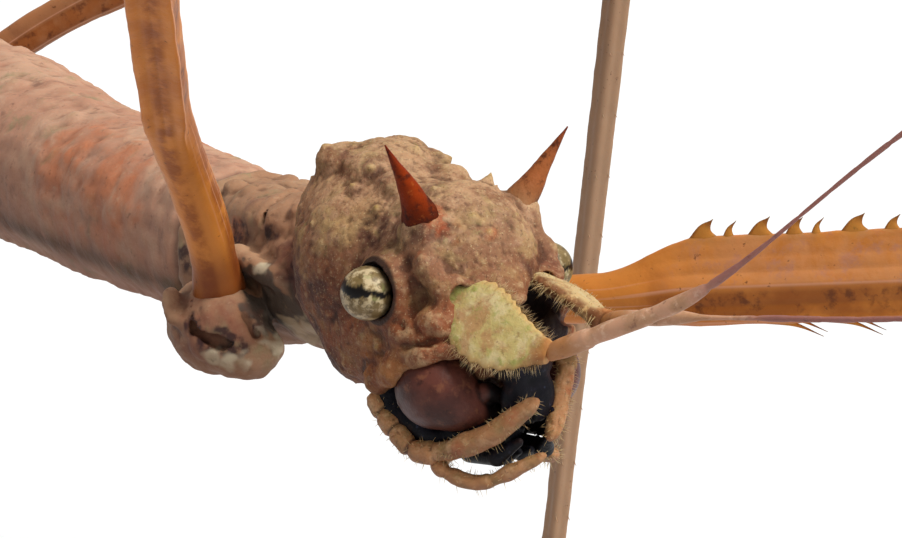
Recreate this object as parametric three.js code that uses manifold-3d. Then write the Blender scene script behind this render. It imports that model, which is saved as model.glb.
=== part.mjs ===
// Brazilian giant stick insect (Cladomorphus phyllinus), an adult female: a still, life-size model.
// Units are millimetres. x points to the insect's left, y towards its tail, z up, and the floor is z = 0.
// Everything is first laid out from a point under the middle of the eyes, then the whole model is
// moved sideways so that its own middle stands over the origin.
import * as THREE from "three";
import { mergeVertices } from "three/addons/utils/BufferGeometryUtils.js";
import Module from "manifold-3d";

const wasm = await Module();
wasm.setup();

// ---- Driving dimensions ----

const GAP = 0.12; // the clearance between two neighbouring pieces
const EYE_LEVEL = 29.5; // height of the eyes over the floor
const HEAD_TURN = 6; // degrees that the head looks to the insect's left
const SPINE_DROP = 1.6; // how far the middle of the trunk lies below the eyes
const TAIL_SAG = 3.5; // how far the end of the abdomen hangs below the thorax
const NECK = 6.4; // where the trunk starts, behind the eyes

// The trunk from the neck to the tail: each stretch's length, and its half width and half height
// at the end nearer to the head.
const TRUNK = [
  { name: "prothorax", length: 8.1, wide: 2.2, high: 2.3, slot: "body" },
  { name: "mesothorax", length: 45.5, wide: 2.7, high: 2.7, slot: "body" },
  { name: "metathorax", length: 18, wide: 4.0, high: 3.7, slot: "body" },
  { name: "median_segment", length: 12, wide: 4.1, high: 3.6, slot: "body" },
  { name: "abdomen_2", length: 15, wide: 4.1, high: 3.6, slot: "abdomen" },
  { name: "abdomen_3", length: 15.5, wide: 4.4, high: 3.9, slot: "abdomen" },
  { name: "abdomen_4", length: 15.5, wide: 4.6, high: 4.1, slot: "abdomen" },
  { name: "abdomen_5", length: 15.5, wide: 4.6, high: 4.1, slot: "abdomen" },
  { name: "abdomen_6", length: 15, wide: 4.4, high: 3.9, slot: "abdomen" },
  { name: "abdomen_7", length: 14, wide: 4.0, high: 3.5, slot: "abdomen" },
  { name: "abdomen_8", length: 9, wide: 3.1, high: 2.9, slot: "abdomen" },
  { name: "abdomen_9", length: 6, wide: 2.4, high: 2.1, slot: "abdomen" },
  { name: "abdomen_10", length: 7, wide: 2.1, high: 1.7, slot: "abdomen" },
];
const TAIL_END = { wide: 1.5, high: 1.0 };
const TRUNK_SIDES = 12;
const WAIST = 0.07; // how much a segment narrows towards its two joints
const PLATE = { first: 10, start: 1.5, beyond: 14, wide: 1.9, high: 0.75, drop: 2.5 };
const CERCUS = { length: 3.2, wide: 0.5, out: 1.0 };

// Bumps along the back: half their spacing across, their spacing along, and their size.
const BUMP = { across: 1.1, pitch: 6.5, radius: 0.45, height: 0.55 };

// The legs. hip: where the leg leaves the trunk, back from the eyes, out from the middle and down
// from the middle of the trunk. The femur's half depth is root by the trunk, then crest above and
// keel below its middle line; across and shin are half thicknesses of the femur and the tibia.
const LEGS = {
  fore: {
    hip: { back: 9.7, out: 2.9, down: 0.95 },
    coxa: { out: 1.5, along: 1.9, high: 1.55 },
    femur: 46, tibia: 51.2, tarsus: 11,
    root: 0.78, crest: 1.62, keel: 1.02, across: 0.62, shin: 0.6,
    teeth: { above: 9, below: 5, from: 0.22, height: 0.5 },
  },
  middle: {
    hip: { back: 58, out: 3.7, down: 0.8 },
    coxa: { out: 1.6, along: 2.2, high: 1.8 },
    femur: 38, tibia: 41.6, tarsus: 10,
    root: 0.95, crest: 1.05, keel: 1.05, across: 0.75, shin: 0.6,
    teeth: { above: 0, below: 5, from: 0.3, height: 0.45 },
  },
  hind: {
    hip: { back: 76, out: 3.8, down: 1.4 },
    coxa: { out: 1.6, along: 2.3, high: 1.8 },
    femur: 44, tibia: 48, tarsus: 11,
    root: 0.95, crest: 1.0, keel: 1.0, across: 0.75, shin: 0.6,
    teeth: { above: 0, below: 5, from: 0.3, height: 0.45 },
  },
};

// The pose, in degrees. launch: the way the leg leaves the trunk. femur: the way the rest of the
// femur points. A heading of 0 is straight ahead and 90 straight out to the leg's own side.
const POSE = {
  fore_right: { launch: { heading: 62, rise: 64 }, femur: { heading: 25.5, rise: 32.5 }, shin: 100 },
  fore_left: { launch: { heading: 33, rise: 3 }, femur: { heading: 42, rise: 6 }, shin: 38 },
  middle_right: { launch: { heading: 100, rise: 20 }, femur: { heading: 112, rise: 24 }, shin: 118 },
  middle_left: { launch: { heading: 59, rise: 44 }, femur: { heading: 55.9, rise: 24.2 }, shin: 180 },
  hind_right: { launch: { heading: 130, rise: 18 }, femur: { heading: 142, rise: 22 }, shin: 140 },
  hind_left: { launch: { heading: 150, rise: 18 }, femur: { heading: 162, rise: 20 }, shin: 160 },
};
const BOW = 10; // length of the curved root of each femur
const ANKLE = 3.2; // height of the ankles over the floor
const SIDES = { right: -1, left: 1 };

// The head, from the middle of the eyes: lobes that swell out of one another.
const SKULL = [
  { middle: [0, 2.9, 0.3], size: [3.25, 3.35, 3.25] }, // the crown and the back of the head
  { middle: [0, 0.1, 0.1], size: [2.55, 2.4, 2.65] }, // the forehead
  { middle: [0, 1.1, -1.7], size: [2.85, 3.2, 2.2] }, // the cheeks
  { middle: [0, -1.6, -1.2], size: [1.9, 1.7, 2.0] }, // the face
];
const EYE = { out: 2.95, radius: 0.78 };
const HORN = { base: [1.62, -0.44, 1.75], tip: [3.05, -0.9, 4.1], radius: 0.62 };
const CROWN_BUMPS = { rows: 3, first: 1.8, pitch: 1.25, across: 1.0, height: 2.7, rise: 0.18 };
const MANDIBLE = { middle: [1.75, -1.55, -2.7], size: [1.15, 1.3, 1.15] };
const LABRUM = { middle: [0, -3.35, -2.75], size: [0.85, 0.45, 0.9] };
const LABIUM = { middle: [0, -1.7, -4.05], size: [0.9, 1.3, 0.55] };
const SCAPE = { thick: 0.26, wide: 1.0, face: { right: [-0.6, -0.5, 0.45], left: [0.55, -0.35, 0.75] } };

// ---- Materials ----

const FINISH = {
  body: { color: 0x9a6a55, roughness: 0.75 },
  abdomen: { color: 0x8a6146, roughness: 0.78 },
  head: { color: 0x8c6350, roughness: 0.7 },
  leg: { color: 0xa8673c, roughness: 0.5 },
  horn: { color: 0x7a3a22, roughness: 0.45 },
  eye: { color: 0xb9b083, roughness: 0.2 },
  jaw: { color: 0x5c3226, roughness: 0.3 },
  feeler: { color: 0xa98a5c, roughness: 0.65 },
};

function material(slot) {
  return new THREE.MeshStandardMaterial({ ...FINISH[slot], metalness: 0, name: slot });
}

// ---- Solids: joining, cutting and the basic shapes ----

// A manifold solid of a closed geometry.
function solid(geometry) {
  const bare = geometry.clone();
  bare.deleteAttribute("normal");
  bare.deleteAttribute("uv");
  const merged = mergeVertices(bare, 1e-4);
  return new wasm.Manifold(
    new wasm.Mesh({
      numProp: 3,
      vertProperties: merged.attributes.position.array,
      triVerts: new Uint32Array(merged.index.array),
    }),
  );
}

function join(solids) {
  return solids.reduce((whole, next) => whole.add(next));
}

function cut(whole, ...cutters) {
  return cutters.reduce((rest, cutter) => rest.subtract(cutter), whole);
}

// The named mesh of a solid.
function piece(name, slot, body) {
  const { numProp, vertProperties, triVerts } = body.getMesh();
  if (numProp !== 3) throw new Error(`${name} has more than positions`);
  const geometry = new THREE.BufferGeometry();
  geometry.setAttribute("position", new THREE.BufferAttribute(vertProperties, 3));
  geometry.setIndex(new THREE.BufferAttribute(triVerts, 1));
  geometry.computeVertexNormals();
  const mesh = new THREE.Mesh(geometry, material(slot));
  mesh.name = name;
  return mesh;
}

function vector([x, y, z]) {
  return new THREE.Vector3(x, y, z);
}

// A lobe: a ball of its own radius along each axis, grown by `more` on every side.
function lobe({ middle, size, more = 0, around = 9, over = 6 }) {
  const ball = new THREE.SphereGeometry(1, around, over);
  ball.scale(size[0] + more, size[1] + more, size[2] + more);
  ball.translate(...middle);
  return solid(ball);
}

// A cone from its base to its tip.
function spike(base, tip, radius, sides = 5) {
  const axis = tip.clone().sub(base);
  const cone = new THREE.ConeGeometry(radius, axis.length(), sides);
  cone.translate(0, axis.length() / 2, 0);
  const turn = new THREE.Quaternion().setFromUnitVectors(new THREE.Vector3(0, 1, 0), axis.normalize());
  cone.applyQuaternion(turn);
  cone.translate(base.x, base.y, base.z);
  return solid(cone);
}

// The directions at a place on a path: along it, up (as near to `up` as it can be) and across.
function frameAt(path, t, up) {
  const along = path.getTangentAt(t);
  const raised = up.clone().addScaledVector(along, -up.dot(along)).normalize();
  const across = along.clone().cross(raised);
  return { at: path.getPointAt(t), along, up: raised, across };
}

// A cylinder bent along a path. There wide(t) is its half width, high(t) and low(t) are its heights
// above and below the path, and `square` makes its section round at 2 and four-edged above that.
// Its steps are shorter towards both ends unless they are even.
function limb({ path, up, wide, high = wide, low = high, sides = 8, steps = 8, square = 2, even }) {
  const shape = new THREE.CylinderGeometry(1, 1, 1, sides, steps);
  const spots = shape.attributes.position;
  for (let i = 0; i < spots.count; i++) {
    const x = spots.getX(i);
    const z = spots.getZ(i);
    const step = spots.getY(i) + 0.5;
    const t = even ? step : (1 - Math.cos(Math.PI * step)) / 2;
    const swell = x || z ? (Math.abs(x) ** square + Math.abs(z) ** square) ** (-1 / square) : 0;
    const { at, up: raised, across } = frameAt(path, t, up);
    at.addScaledVector(across, x * swell * wide(t));
    at.addScaledVector(raised, z * swell * (z > 0 ? high(t) : low(t)));
    spots.setXYZ(i, at.x, at.y, at.z);
  }
  return solid(shape);
}

// A half thickness that runs from a to b along a limb and rounds off over its ends.
function rounded(a, b, end = 0.12, least = 0.5) {
  return (t) => {
    const inward = Math.min(1, Math.min(t, 1 - t) / end);
    return THREE.MathUtils.lerp(a, b, t) * (least + (1 - least) * Math.sqrt(inward * (2 - inward)));
  };
}

// ---- The trunk ----

const UP = new THREE.Vector3(0, 0, 1);

// Where each stretch of the trunk starts, back from the eyes.
const starts = TRUNK.reduce((all, { length }) => [...all, all.at(-1) + length], [NECK]);
const trunkEnd = starts.at(-1);

function spineHeight(back) {
  const sagging = Math.max(0, back - starts[3]) / (trunkEnd - starts[3]);
  return EYE_LEVEL - SPINE_DROP - TAIL_SAG * sagging ** 2;
}

function spinePoint(back) {
  return new THREE.Vector3(0, back, spineHeight(back));
}

// One stretch of the trunk, `more` thicker than it is when it serves to cut a neighbour.
function trunkStretch(index, more = 0) {
  const here = TRUNK[index];
  const next = TRUNK[index + 1] ?? TAIL_END;
  const from = spinePoint(starts[index] + GAP / 2 - more);
  const to = spinePoint(starts[index] + here.length - GAP / 2 + more);
  const belly = (t) => 1 - WAIST * (2 * t - 1) ** 4;
  return limb({
    path: new THREE.LineCurve3(from, to),
    up: UP,
    wide: (t) => THREE.MathUtils.lerp(here.wide, next.wide, t) * belly(t) + more,
    high: (t) => THREE.MathUtils.lerp(here.high, next.high, t) * belly(t) + more,
    sides: TRUNK_SIDES,
    steps: 4,
    square: 2.3,
  });
}

// Two rows of blunt bumps along the back of a stretch of the thorax.
function backBumps(index) {
  const here = TRUNK[index];
  const next = TRUNK[index + 1];
  const bumps = [];
  for (let along = BUMP.pitch / 2; along < here.length; along += BUMP.pitch) {
    const t = along / here.length;
    const top = THREE.MathUtils.lerp(here.high, next.high, t);
    for (const side of Object.values(SIDES)) {
      const foot = spinePoint(starts[index] + along);
      foot.add(new THREE.Vector3(side * BUMP.across, 0, top * 0.86));
      const tip = foot.clone().add(new THREE.Vector3(side * 0.1, 0, BUMP.height));
      bumps.push(spike(foot, tip, BUMP.radius, 4));
    }
  }
  return bumps;
}

// The blade under the end of the abdomen that hides the egg-laying parts. It leaves the trunk under
// the stretch that PLATE.first numbers.
function platePath() {
  const from = spinePoint(starts[PLATE.first] + PLATE.start);
  from.z -= PLATE.drop;
  const to = spinePoint(trunkEnd + PLATE.beyond);
  to.z -= PLATE.drop - 0.4;
  return new THREE.LineCurve3(from, to);
}

function subgenitalPlate(more = 0) {
  const taper = (t) => Math.min(1, 0.55 + 2.2 * t) * (1 - 0.86 * Math.max(0, t - 0.35) / 0.65);
  return limb({
    path: platePath(),
    up: UP,
    wide: (t) => PLATE.wide * taper(t) + more,
    high: (t) => PLATE.high * (0.45 + 0.55 * taper(t)) + more,
    sides: 8,
    steps: 5,
    square: 1.7,
  });
}

function cercus(side) {
  const root = spinePoint(trunkEnd + GAP);
  root.x = side * CERCUS.out;
  const tip = root.clone().add(new THREE.Vector3(side * 0.5, CERCUS.length, -0.2));
  return limb({
    path: new THREE.LineCurve3(root, tip),
    up: UP,
    wide: (t) => CERCUS.wide * (0.6 + 1.6 * t * (1 - t)),
    high: (t) => 0.3 * (0.9 + 0.4 * t * (1 - t)),
    sides: 6,
    steps: 3,
  });
}

function trunkPieces() {
  const meshes = TRUNK.map(({ name, slot }, index) => {
    const bumps = index < 2 ? backBumps(index) : [];
    let body = join([trunkStretch(index), ...bumps]);
    for (const leg of Object.values(LEGS)) {
      for (const side of Object.values(SIDES)) body = body.subtract(coxaSolid(leg, side, GAP));
    }
    if (index >= PLATE.first) body = body.subtract(subgenitalPlate(GAP));
    return piece(name, slot, body);
  });
  const tail = TRUNK.length - 1;
  const above = [tail - 2, tail - 1, tail].map((index) => trunkStretch(index, GAP));
  meshes.push(piece("subgenital_plate", "abdomen", cut(subgenitalPlate(), ...above)));
  for (const [name, side] of Object.entries(SIDES)) {
    meshes.push(piece(`cercus_${name}`, "abdomen", cercus(side)));
  }
  return meshes;
}

// ---- The legs ----

// A unit vector with a heading and a rise, for a leg on one side.
function direction({ heading, rise }, side) {
  const turn = THREE.MathUtils.degToRad(heading);
  const lift = THREE.MathUtils.degToRad(rise);
  const flat = Math.cos(lift);
  return new THREE.Vector3(side * Math.sin(turn) * flat, -Math.cos(turn) * flat, Math.sin(lift));
}

function hipPoint({ hip }, side) {
  return new THREE.Vector3(side * hip.out, hip.back, spineHeight(hip.back) - hip.down);
}

function coxaSolid(leg, side, more = 0) {
  const middle = hipPoint(leg, side);
  middle.x += side * leg.coxa.out * 0.1;
  middle.z -= leg.coxa.high * 0.25;
  const size = [leg.coxa.out, leg.coxa.along, leg.coxa.high];
  return lobe({ middle: middle.toArray(), size, more, around: 9, over: 6 });
}

// The path of a femur: a curved root that bends from the launch to the femur's own direction.
function femurPath(leg, pose, side) {
  const hip = hipPoint(leg, side);
  const launch = direction(pose.launch, side);
  const onward = direction(pose.femur, side);
  const elbow = hip.clone().addScaledVector(launch, BOW / 2);
  const end = elbow.clone().addScaledVector(onward, BOW / 2);
  const knee = end.clone().addScaledVector(onward, leg.femur - BOW);
  const path = new THREE.CurvePath();
  path.add(new THREE.QuadraticBezierCurve3(hip, elbow, end));
  path.add(new THREE.LineCurve3(end, knee));
  return path;
}

// The shin drops from the knee to the ankle, over a place on the floor that its length settles.
function shinPath(leg, pose, side, knee) {
  const drop = knee.z - ANKLE;
  const reach = Math.sqrt(leg.tibia ** 2 - drop ** 2);
  const way = direction({ heading: pose.shin, rise: 0 }, side);
  const ankle = knee.clone().addScaledVector(way, reach);
  ankle.z = ANKLE;
  return new THREE.LineCurve3(knee, ankle);
}

// The foot comes down from the ankle and lies along the floor.
function footPath(leg, pose, side, ankle) {
  const way = direction({ heading: pose.shin, rise: 0 }, side);
  const reach = leg.tarsus;
  const spot = (part, height) => {
    const point = ankle.clone().addScaledVector(way, reach * part);
    point.z = height;
    return point;
  };
  const rest = 0.42;
  return new THREE.CatmullRomCurve3([ankle, spot(0.35, 1.35), spot(0.6, rest), spot(0.92, rest)]);
}

// A row of small teeth on one edge of a femur, leaning towards its knee.
function teeth({ path, up, edge, count, from, height, depth }) {
  const row = [];
  for (let i = 0; i < count; i++) {
    const t = THREE.MathUtils.lerp(from, 0.96, i / (count - 1));
    const { at, along, up: raised } = frameAt(path, t, up);
    const root = at.clone().addScaledVector(raised, edge * depth(t) * 0.85);
    const tip = at.clone().addScaledVector(raised, edge * (depth(t) + height));
    tip.addScaledVector(along, height * 0.55);
    row.push(spike(root, tip, height * 0.75, 3));
  }
  return row;
}

function femurSolid(leg, path) {
  const depth = (full) => (t) => {
    const grown = THREE.MathUtils.smoothstep(t * leg.femur, BOW * 0.8, BOW * 1.15);
    const knee = 1 - 0.35 * THREE.MathUtils.smoothstep(t, 0.5, 1);
    return THREE.MathUtils.lerp(leg.root, full, grown) * knee;
  };
  const crest = depth(leg.crest);
  const keel = depth(leg.keel);
  const shaft = limb({
    path,
    up: UP,
    wide: () => leg.across,
    high: crest,
    low: keel,
    steps: 9,
    square: 3.2,
    even: true,
  });
  const { above, below, from, height } = leg.teeth;
  const row = { path, up: UP, from };
  return join([
    shaft,
    ...teeth({ ...row, edge: 1, count: above, height, depth: crest }),
    ...teeth({ ...row, edge: -1, count: below, height: height * 0.7, depth: keel }),
  ]);
}

function shinSolid(leg, path, outward, more = 0) {
  const thick = rounded(leg.shin * 1.15, leg.shin * 0.9, 0.03, 0.7);
  return limb({ path, up: outward, wide: (t) => thick(t) + more, steps: 4, square: 3 });
}

// The foot without its claws, `more` thicker where it serves to cut the shin.
function soleSolid(path, more = 0) {
  const thick = rounded(0.55, 0.5, 0.05, 0.7);
  return limb({ path, up: UP, wide: (t) => thick(t) + more, sides: 6, steps: 5 });
}

// The foot with its two claws, cut level where it stands on the floor.
function footSolid(path, outward) {
  const toe = path.getPointAt(1);
  const across = new THREE.Vector3(-outward.y, outward.x, 0);
  const claws = [-1, 1].map((side) => {
    const root = toe.clone().addScaledVector(across, side * 0.22).addScaledVector(outward, -0.3);
    const tip = toe.clone().addScaledVector(across, side * 0.7).addScaledVector(outward, 0.9);
    tip.z = 0.1;
    return spike(root, tip, 0.27, 4);
  });
  const below = new THREE.BoxGeometry(40, 40, 4);
  below.translate(toe.x, toe.y, -2);
  return cut(join([soleSolid(path), ...claws]), solid(below));
}

function legPieces(pair, sideName) {
  const leg = LEGS[pair];
  const side = SIDES[sideName];
  const pose = POSE[`${pair}_${sideName}`];
  const thigh = femurPath(leg, pose, side);
  const knee = thigh.getPointAt(1);
  const shin = shinPath(leg, pose, side, knee);
  const foot = footPath(leg, pose, side, shin.getPointAt(1));
  const outward = direction({ heading: pose.shin, rise: 0 }, side);
  const name = (part) => `${part}_${pair}_${sideName}`;
  const femur = cut(femurSolid(leg, thigh), coxaSolid(leg, side, GAP), shinSolid(leg, shin, outward, GAP));
  const tibia = cut(shinSolid(leg, shin, outward), soleSolid(foot, GAP));
  return [
    piece(name("coxa"), "body", coxaSolid(leg, side)),
    piece(name("femur"), "leg", femur),
    piece(name("tibia"), "leg", tibia),
    piece(name("tarsus"), "leg", footSolid(foot, outward)),
  ];
}

// ---- The head ----

function mirrored([x, y, z], side) {
  return [side * x, y, z];
}

function skullSolid(more = 0) {
  return join(SKULL.map(({ middle, size }) => lobe({ middle, size, more, around: 10, over: 7 })));
}

function crownBumps(side) {
  const bumps = [];
  for (let row = 0; row < CROWN_BUMPS.rows; row++) {
    const y = CROWN_BUMPS.first + row * CROWN_BUMPS.pitch;
    const x = side * (CROWN_BUMPS.across + 0.15 * row);
    const middle = [x, y, CROWN_BUMPS.height + CROWN_BUMPS.rise * row];
    bumps.push(lobe({ middle, size: [0.6, 0.5, 0.42], around: 6, over: 4 }));
  }
  return bumps;
}

function eyeSolid(side, more = 0) {
  const size = [EYE.radius, EYE.radius, EYE.radius];
  return lobe({ middle: [side * EYE.out, 0, 0], size, more, around: 10, over: 7 });
}

function hornSolid(side) {
  const base = vector(mirrored(HORN.base, side));
  const tip = vector(mirrored(HORN.tip, side));
  return limb({
    path: new THREE.LineCurve3(base, tip),
    up: new THREE.Vector3(0, 1, 0),
    wide: (t) => HORN.radius * (0.08 + 0.92 * (1 - t) ** 1.15),
    sides: 7,
    steps: 4,
  });
}

function mandibleSolid(side, more = 0) {
  const { middle, size } = MANDIBLE;
  return lobe({ middle: mirrored(middle, side), size, more });
}

function labrumSolid(more = 0) {
  return lobe({ ...LABRUM, more, around: 8, over: 5 });
}

function labiumSolid(more = 0) {
  return lobe({ ...LABIUM, more, around: 8, over: 5 });
}

// Feelers and palps follow smooth paths through a few places, from the middle of the eyes.
const FEELERS = {
  scape_right: [[-1.4, -1.5, 0.0], [-1.0, -2.95, -0.8], [-0.35, -4.4, -1.2]],
  scape_left: [[1.5, -1.5, 0.1], [1.75, -2.95, -0.25], [1.9, -4.1, -0.75]],
  antenna_right: [
    [-0.3, -4.62, -1.22], [0.3, -5.85, -0.5], [1.55, -8.35, 0.85], [3.75, -13.1, 5.3],
    [9, -26, 16], [17, -42, 25], [25, -56, 30],
  ],
  antenna_left: [
    [1.97, -4.4, -0.7], [2.35, -5.9, -0.55], [3.2, -8.2, -0.25], [4.7, -13.2, 0.6],
    [9, -27, 4.0], [17, -44, 8.5], [26, -60, 14],
  ],
  maxillary_palp_right: [
    [-2.25, 0.8, -3.3], [-2.25, -0.2, -4.0], [-2.0, -1.0, -4.35], [-1.25, -2.8, -3.7], [-0.35, -4.1, -2.6],
  ],
  maxillary_palp_left: [
    [2.3, -1.6, -1.7], [1.65, -2.95, -2.15], [1.22, -3.2, -2.95], [0.8, -3.5, -3.6], [0.45, -3.65, -3.9],
  ],
  labial_palp_right: [
    [-0.8, -1.1, -4.65], [-1.65, -1.5, -4.95], [-1.1, -2.5, -5.1], [-0.5, -3.3, -4.65], [0.1, -3.85, -4.3],
  ],
  labial_palp_left: [[0.8, -1.5, -4.6], [1.45, -2.2, -4.8], [0.95, -3.0, -4.5]],
};

function feelerPath(name) {
  return new THREE.CatmullRomCurve3(FEELERS[name].map(vector));
}

// The first joint of a feeler, flattened like a leaf.
function scapeSolid(sideName, more = 0) {
  const leaf = (t) => 0.32 + 0.68 * Math.sin(Math.PI * Math.min(1, 0.12 + 0.86 * t)) ** 0.7;
  return limb({
    path: feelerPath(`scape_${sideName}`),
    up: vector(SCAPE.face[sideName]),
    wide: (t) => SCAPE.wide * leaf(t) + more,
    high: (t) => SCAPE.thick * (0.9 + 0.4 * leaf(t)) + more,
    sides: 6,
    steps: 6,
  });
}

// A stretch of the whip of a feeler between two parts of its length.
function whipSolid(sideName, from, to) {
  const whole = feelerPath(`antenna_${sideName}`);
  const path = new THREE.CatmullRomCurve3(
    [0, 0.2, 0.4, 0.6, 0.8, 1].map((part) => whole.getPointAt(THREE.MathUtils.lerp(from, to, part))),
  );
  const thick = (t) => {
    const part = THREE.MathUtils.lerp(from, to, t);
    return 0.25 + 0.2 * (1 - THREE.MathUtils.smoothstep(part, 0.02, 0.12));
  };
  return limb({ path, up: UP, wide: thick, sides: 5, steps: 6 });
}

function palpSolid(name, thick) {
  const joints = (t) => thick * (0.9 + 0.16 * Math.abs(Math.sin(3 * Math.PI * t))) * (1 - 0.25 * t);
  return limb({ path: feelerPath(name), up: UP, wide: joints, sides: 6, steps: 7 });
}

function headPieces() {
  const sides = Object.entries(SIDES);
  const eyeSockets = sides.map(([, side]) => eyeSolid(side, GAP));
  const jawSockets = sides.map(([, side]) => mandibleSolid(side, GAP));
  const mouth = [labrumSolid(GAP), labiumSolid(GAP)];
  const scapeSockets = sides.map(([sideName]) => scapeSolid(sideName, GAP));
  const bumps = sides.flatMap(([, side]) => crownBumps(side));
  const skull = cut(join([skullSolid(), ...bumps]), ...eyeSockets, ...scapeSockets);
  const palps = ["maxillary", "labial"].flatMap((kind) =>
    sides.map(([sideName]) => `${kind}_palp_${sideName}`),
  );
  const palpGirth = (name) => (name.startsWith("maxillary") ? 0.32 : 0.28);
  const meshes = [
    piece("head", "head", skull),
    piece("labrum", "head", cut(labrumSolid(), skullSolid(GAP), ...jawSockets)),
    piece("labium", "jaw", cut(labiumSolid(), skullSolid(GAP), ...jawSockets, labrumSolid(GAP))),
  ];
  const clearOfPalps = [skullSolid(GAP), ...jawSockets, ...mouth];
  for (const [sideName, side] of sides) {
    const jawMiddle = solid(new THREE.BoxGeometry(GAP, 12, 12));
    meshes.push(
      piece(`eye_${sideName}`, "eye", eyeSolid(side)),
      piece(`horn_${sideName}`, "horn", cut(hornSolid(side), skullSolid(GAP))),
      piece(`mandible_${sideName}`, "jaw", cut(mandibleSolid(side), skullSolid(GAP), jawMiddle)),
      piece(`scape_${sideName}`, "feeler", scapeSolid(sideName)),
      piece(`flagellum_base_${sideName}`, "feeler", whipSolid(sideName, 0, 0.45)),
      piece(`flagellum_tip_${sideName}`, "feeler", whipSolid(sideName, 0.452, 1)),
    );
  }
  for (const name of palps) {
    meshes.push(piece(name, "feeler", cut(palpSolid(name, palpGirth(name)), ...clearOfPalps)));
  }
  return meshes;
}

// ---- The whole insect ----

function stickInsect() {
  const insect = new THREE.Group();
  const head = new THREE.Group();
  head.position.z = EYE_LEVEL;
  head.rotation.z = THREE.MathUtils.degToRad(HEAD_TURN);
  head.add(...headPieces());
  insect.add(head, ...trunkPieces());
  for (const pair of Object.keys(LEGS)) {
    for (const sideName of Object.keys(SIDES)) insect.add(...legPieces(pair, sideName));
  }
  return insect;
}

// Moves the insect so that the middle of its bounding box stands over the origin.
function centred(insect) {
  const box = new THREE.Box3().setFromObject(insect, true);
  const middle = box.getCenter(new THREE.Vector3());
  insect.position.set(-middle.x, -middle.y, 0);
  const model = new THREE.Group();
  model.add(insect);
  return model;
}

export default centred(stickInsect());
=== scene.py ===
"""A Brazilian giant stick insect (Cladomorphus phyllinus), an adult female, as a life-size model.

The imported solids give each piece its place. The skins built here lie over them with the insect's
own relief: the head and the joints of the legs are lobes that melt together on a grid, and the rest
are sections laid along curves. All lengths are in millimetres until a skin becomes a Blender mesh.
"""
import math

import bpy
import numpy as np
from mathutils import Matrix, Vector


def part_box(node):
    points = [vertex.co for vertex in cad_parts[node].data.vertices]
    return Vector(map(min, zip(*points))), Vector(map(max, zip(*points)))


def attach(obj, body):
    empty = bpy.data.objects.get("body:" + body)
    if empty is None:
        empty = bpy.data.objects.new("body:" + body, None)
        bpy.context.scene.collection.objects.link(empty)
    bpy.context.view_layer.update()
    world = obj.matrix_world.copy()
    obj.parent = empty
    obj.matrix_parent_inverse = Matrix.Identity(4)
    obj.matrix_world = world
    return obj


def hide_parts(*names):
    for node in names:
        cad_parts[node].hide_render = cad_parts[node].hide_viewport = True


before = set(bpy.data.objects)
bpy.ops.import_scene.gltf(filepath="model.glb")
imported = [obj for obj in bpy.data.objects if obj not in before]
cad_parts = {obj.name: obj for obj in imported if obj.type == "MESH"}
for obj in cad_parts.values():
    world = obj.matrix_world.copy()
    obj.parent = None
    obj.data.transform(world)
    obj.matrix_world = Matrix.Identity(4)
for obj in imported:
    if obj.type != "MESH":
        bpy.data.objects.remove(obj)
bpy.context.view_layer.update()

# ---- The insect's measurements, in millimetres, close to those of its solids ----

# Places are given from a point on the floor under the middle of the eyes: x to the insect's left,
# y towards its tail and z up. On the head they are given from the middle of the eyes.
EYE_LEVEL = 29.5
HEAD_TURN = math.radians(6)
SPINE_DROP = 1.6  # how far the trunk's middle line lies below the eyes
TAIL_SAG = 3.5  # how much lower that line is at the end of the abdomen
NECK = 6.4  # where the prothorax begins

# Each stretch of the trunk: its solid's name, its length, and its half width and half height in front.
TRUNK = [
    ("prothorax", 8.1, 2.2, 2.3),
    ("mesothorax", 45.5, 2.7, 2.7),
    ("metathorax", 18, 4.0, 3.7),
    ("median_segment", 12, 4.1, 3.6),
    ("abdomen_2", 15, 4.1, 3.6),
    ("abdomen_3", 15.5, 4.4, 3.9),
    ("abdomen_4", 15.5, 4.6, 4.1),
    ("abdomen_5", 15.5, 4.6, 4.1),
    ("abdomen_6", 15, 4.4, 3.9),
    ("abdomen_7", 14, 4.0, 3.5),
    ("abdomen_8", 9, 3.1, 2.9),
    ("abdomen_9", 6, 2.4, 2.1),
    ("abdomen_10", 7, 2.1, 1.7),
    ("tail_end", 0, 1.5, 1.0),
]

# The legs: the hip's place (out from the middle, back from the eyes, down from the spine), lengths
# and half thicknesses, and the half sizes (out, along, high) of the coxae that are pieces of their own.
LEGS = {
    "fore": dict(hip=(2.9, 9.7, 0.95), femur=46, tibia=51.2, tarsus=11,
                 root=0.78, crest=1.8, keel=0.86, across=0.7, shin=0.6),
    "middle": dict(hip=(3.7, 58, 0.8), coxa=(1.6, 2.2, 1.8), femur=38, tibia=41.6, tarsus=10,
                   root=0.95, crest=1.05, keel=1.05, across=0.75, shin=0.6),
    "hind": dict(hip=(3.8, 76, 1.4), coxa=(1.6, 2.3, 1.8), femur=44, tibia=48, tarsus=11,
                 root=0.95, crest=1.0, keel=1.0, across=0.75, shin=0.6),
}

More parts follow.
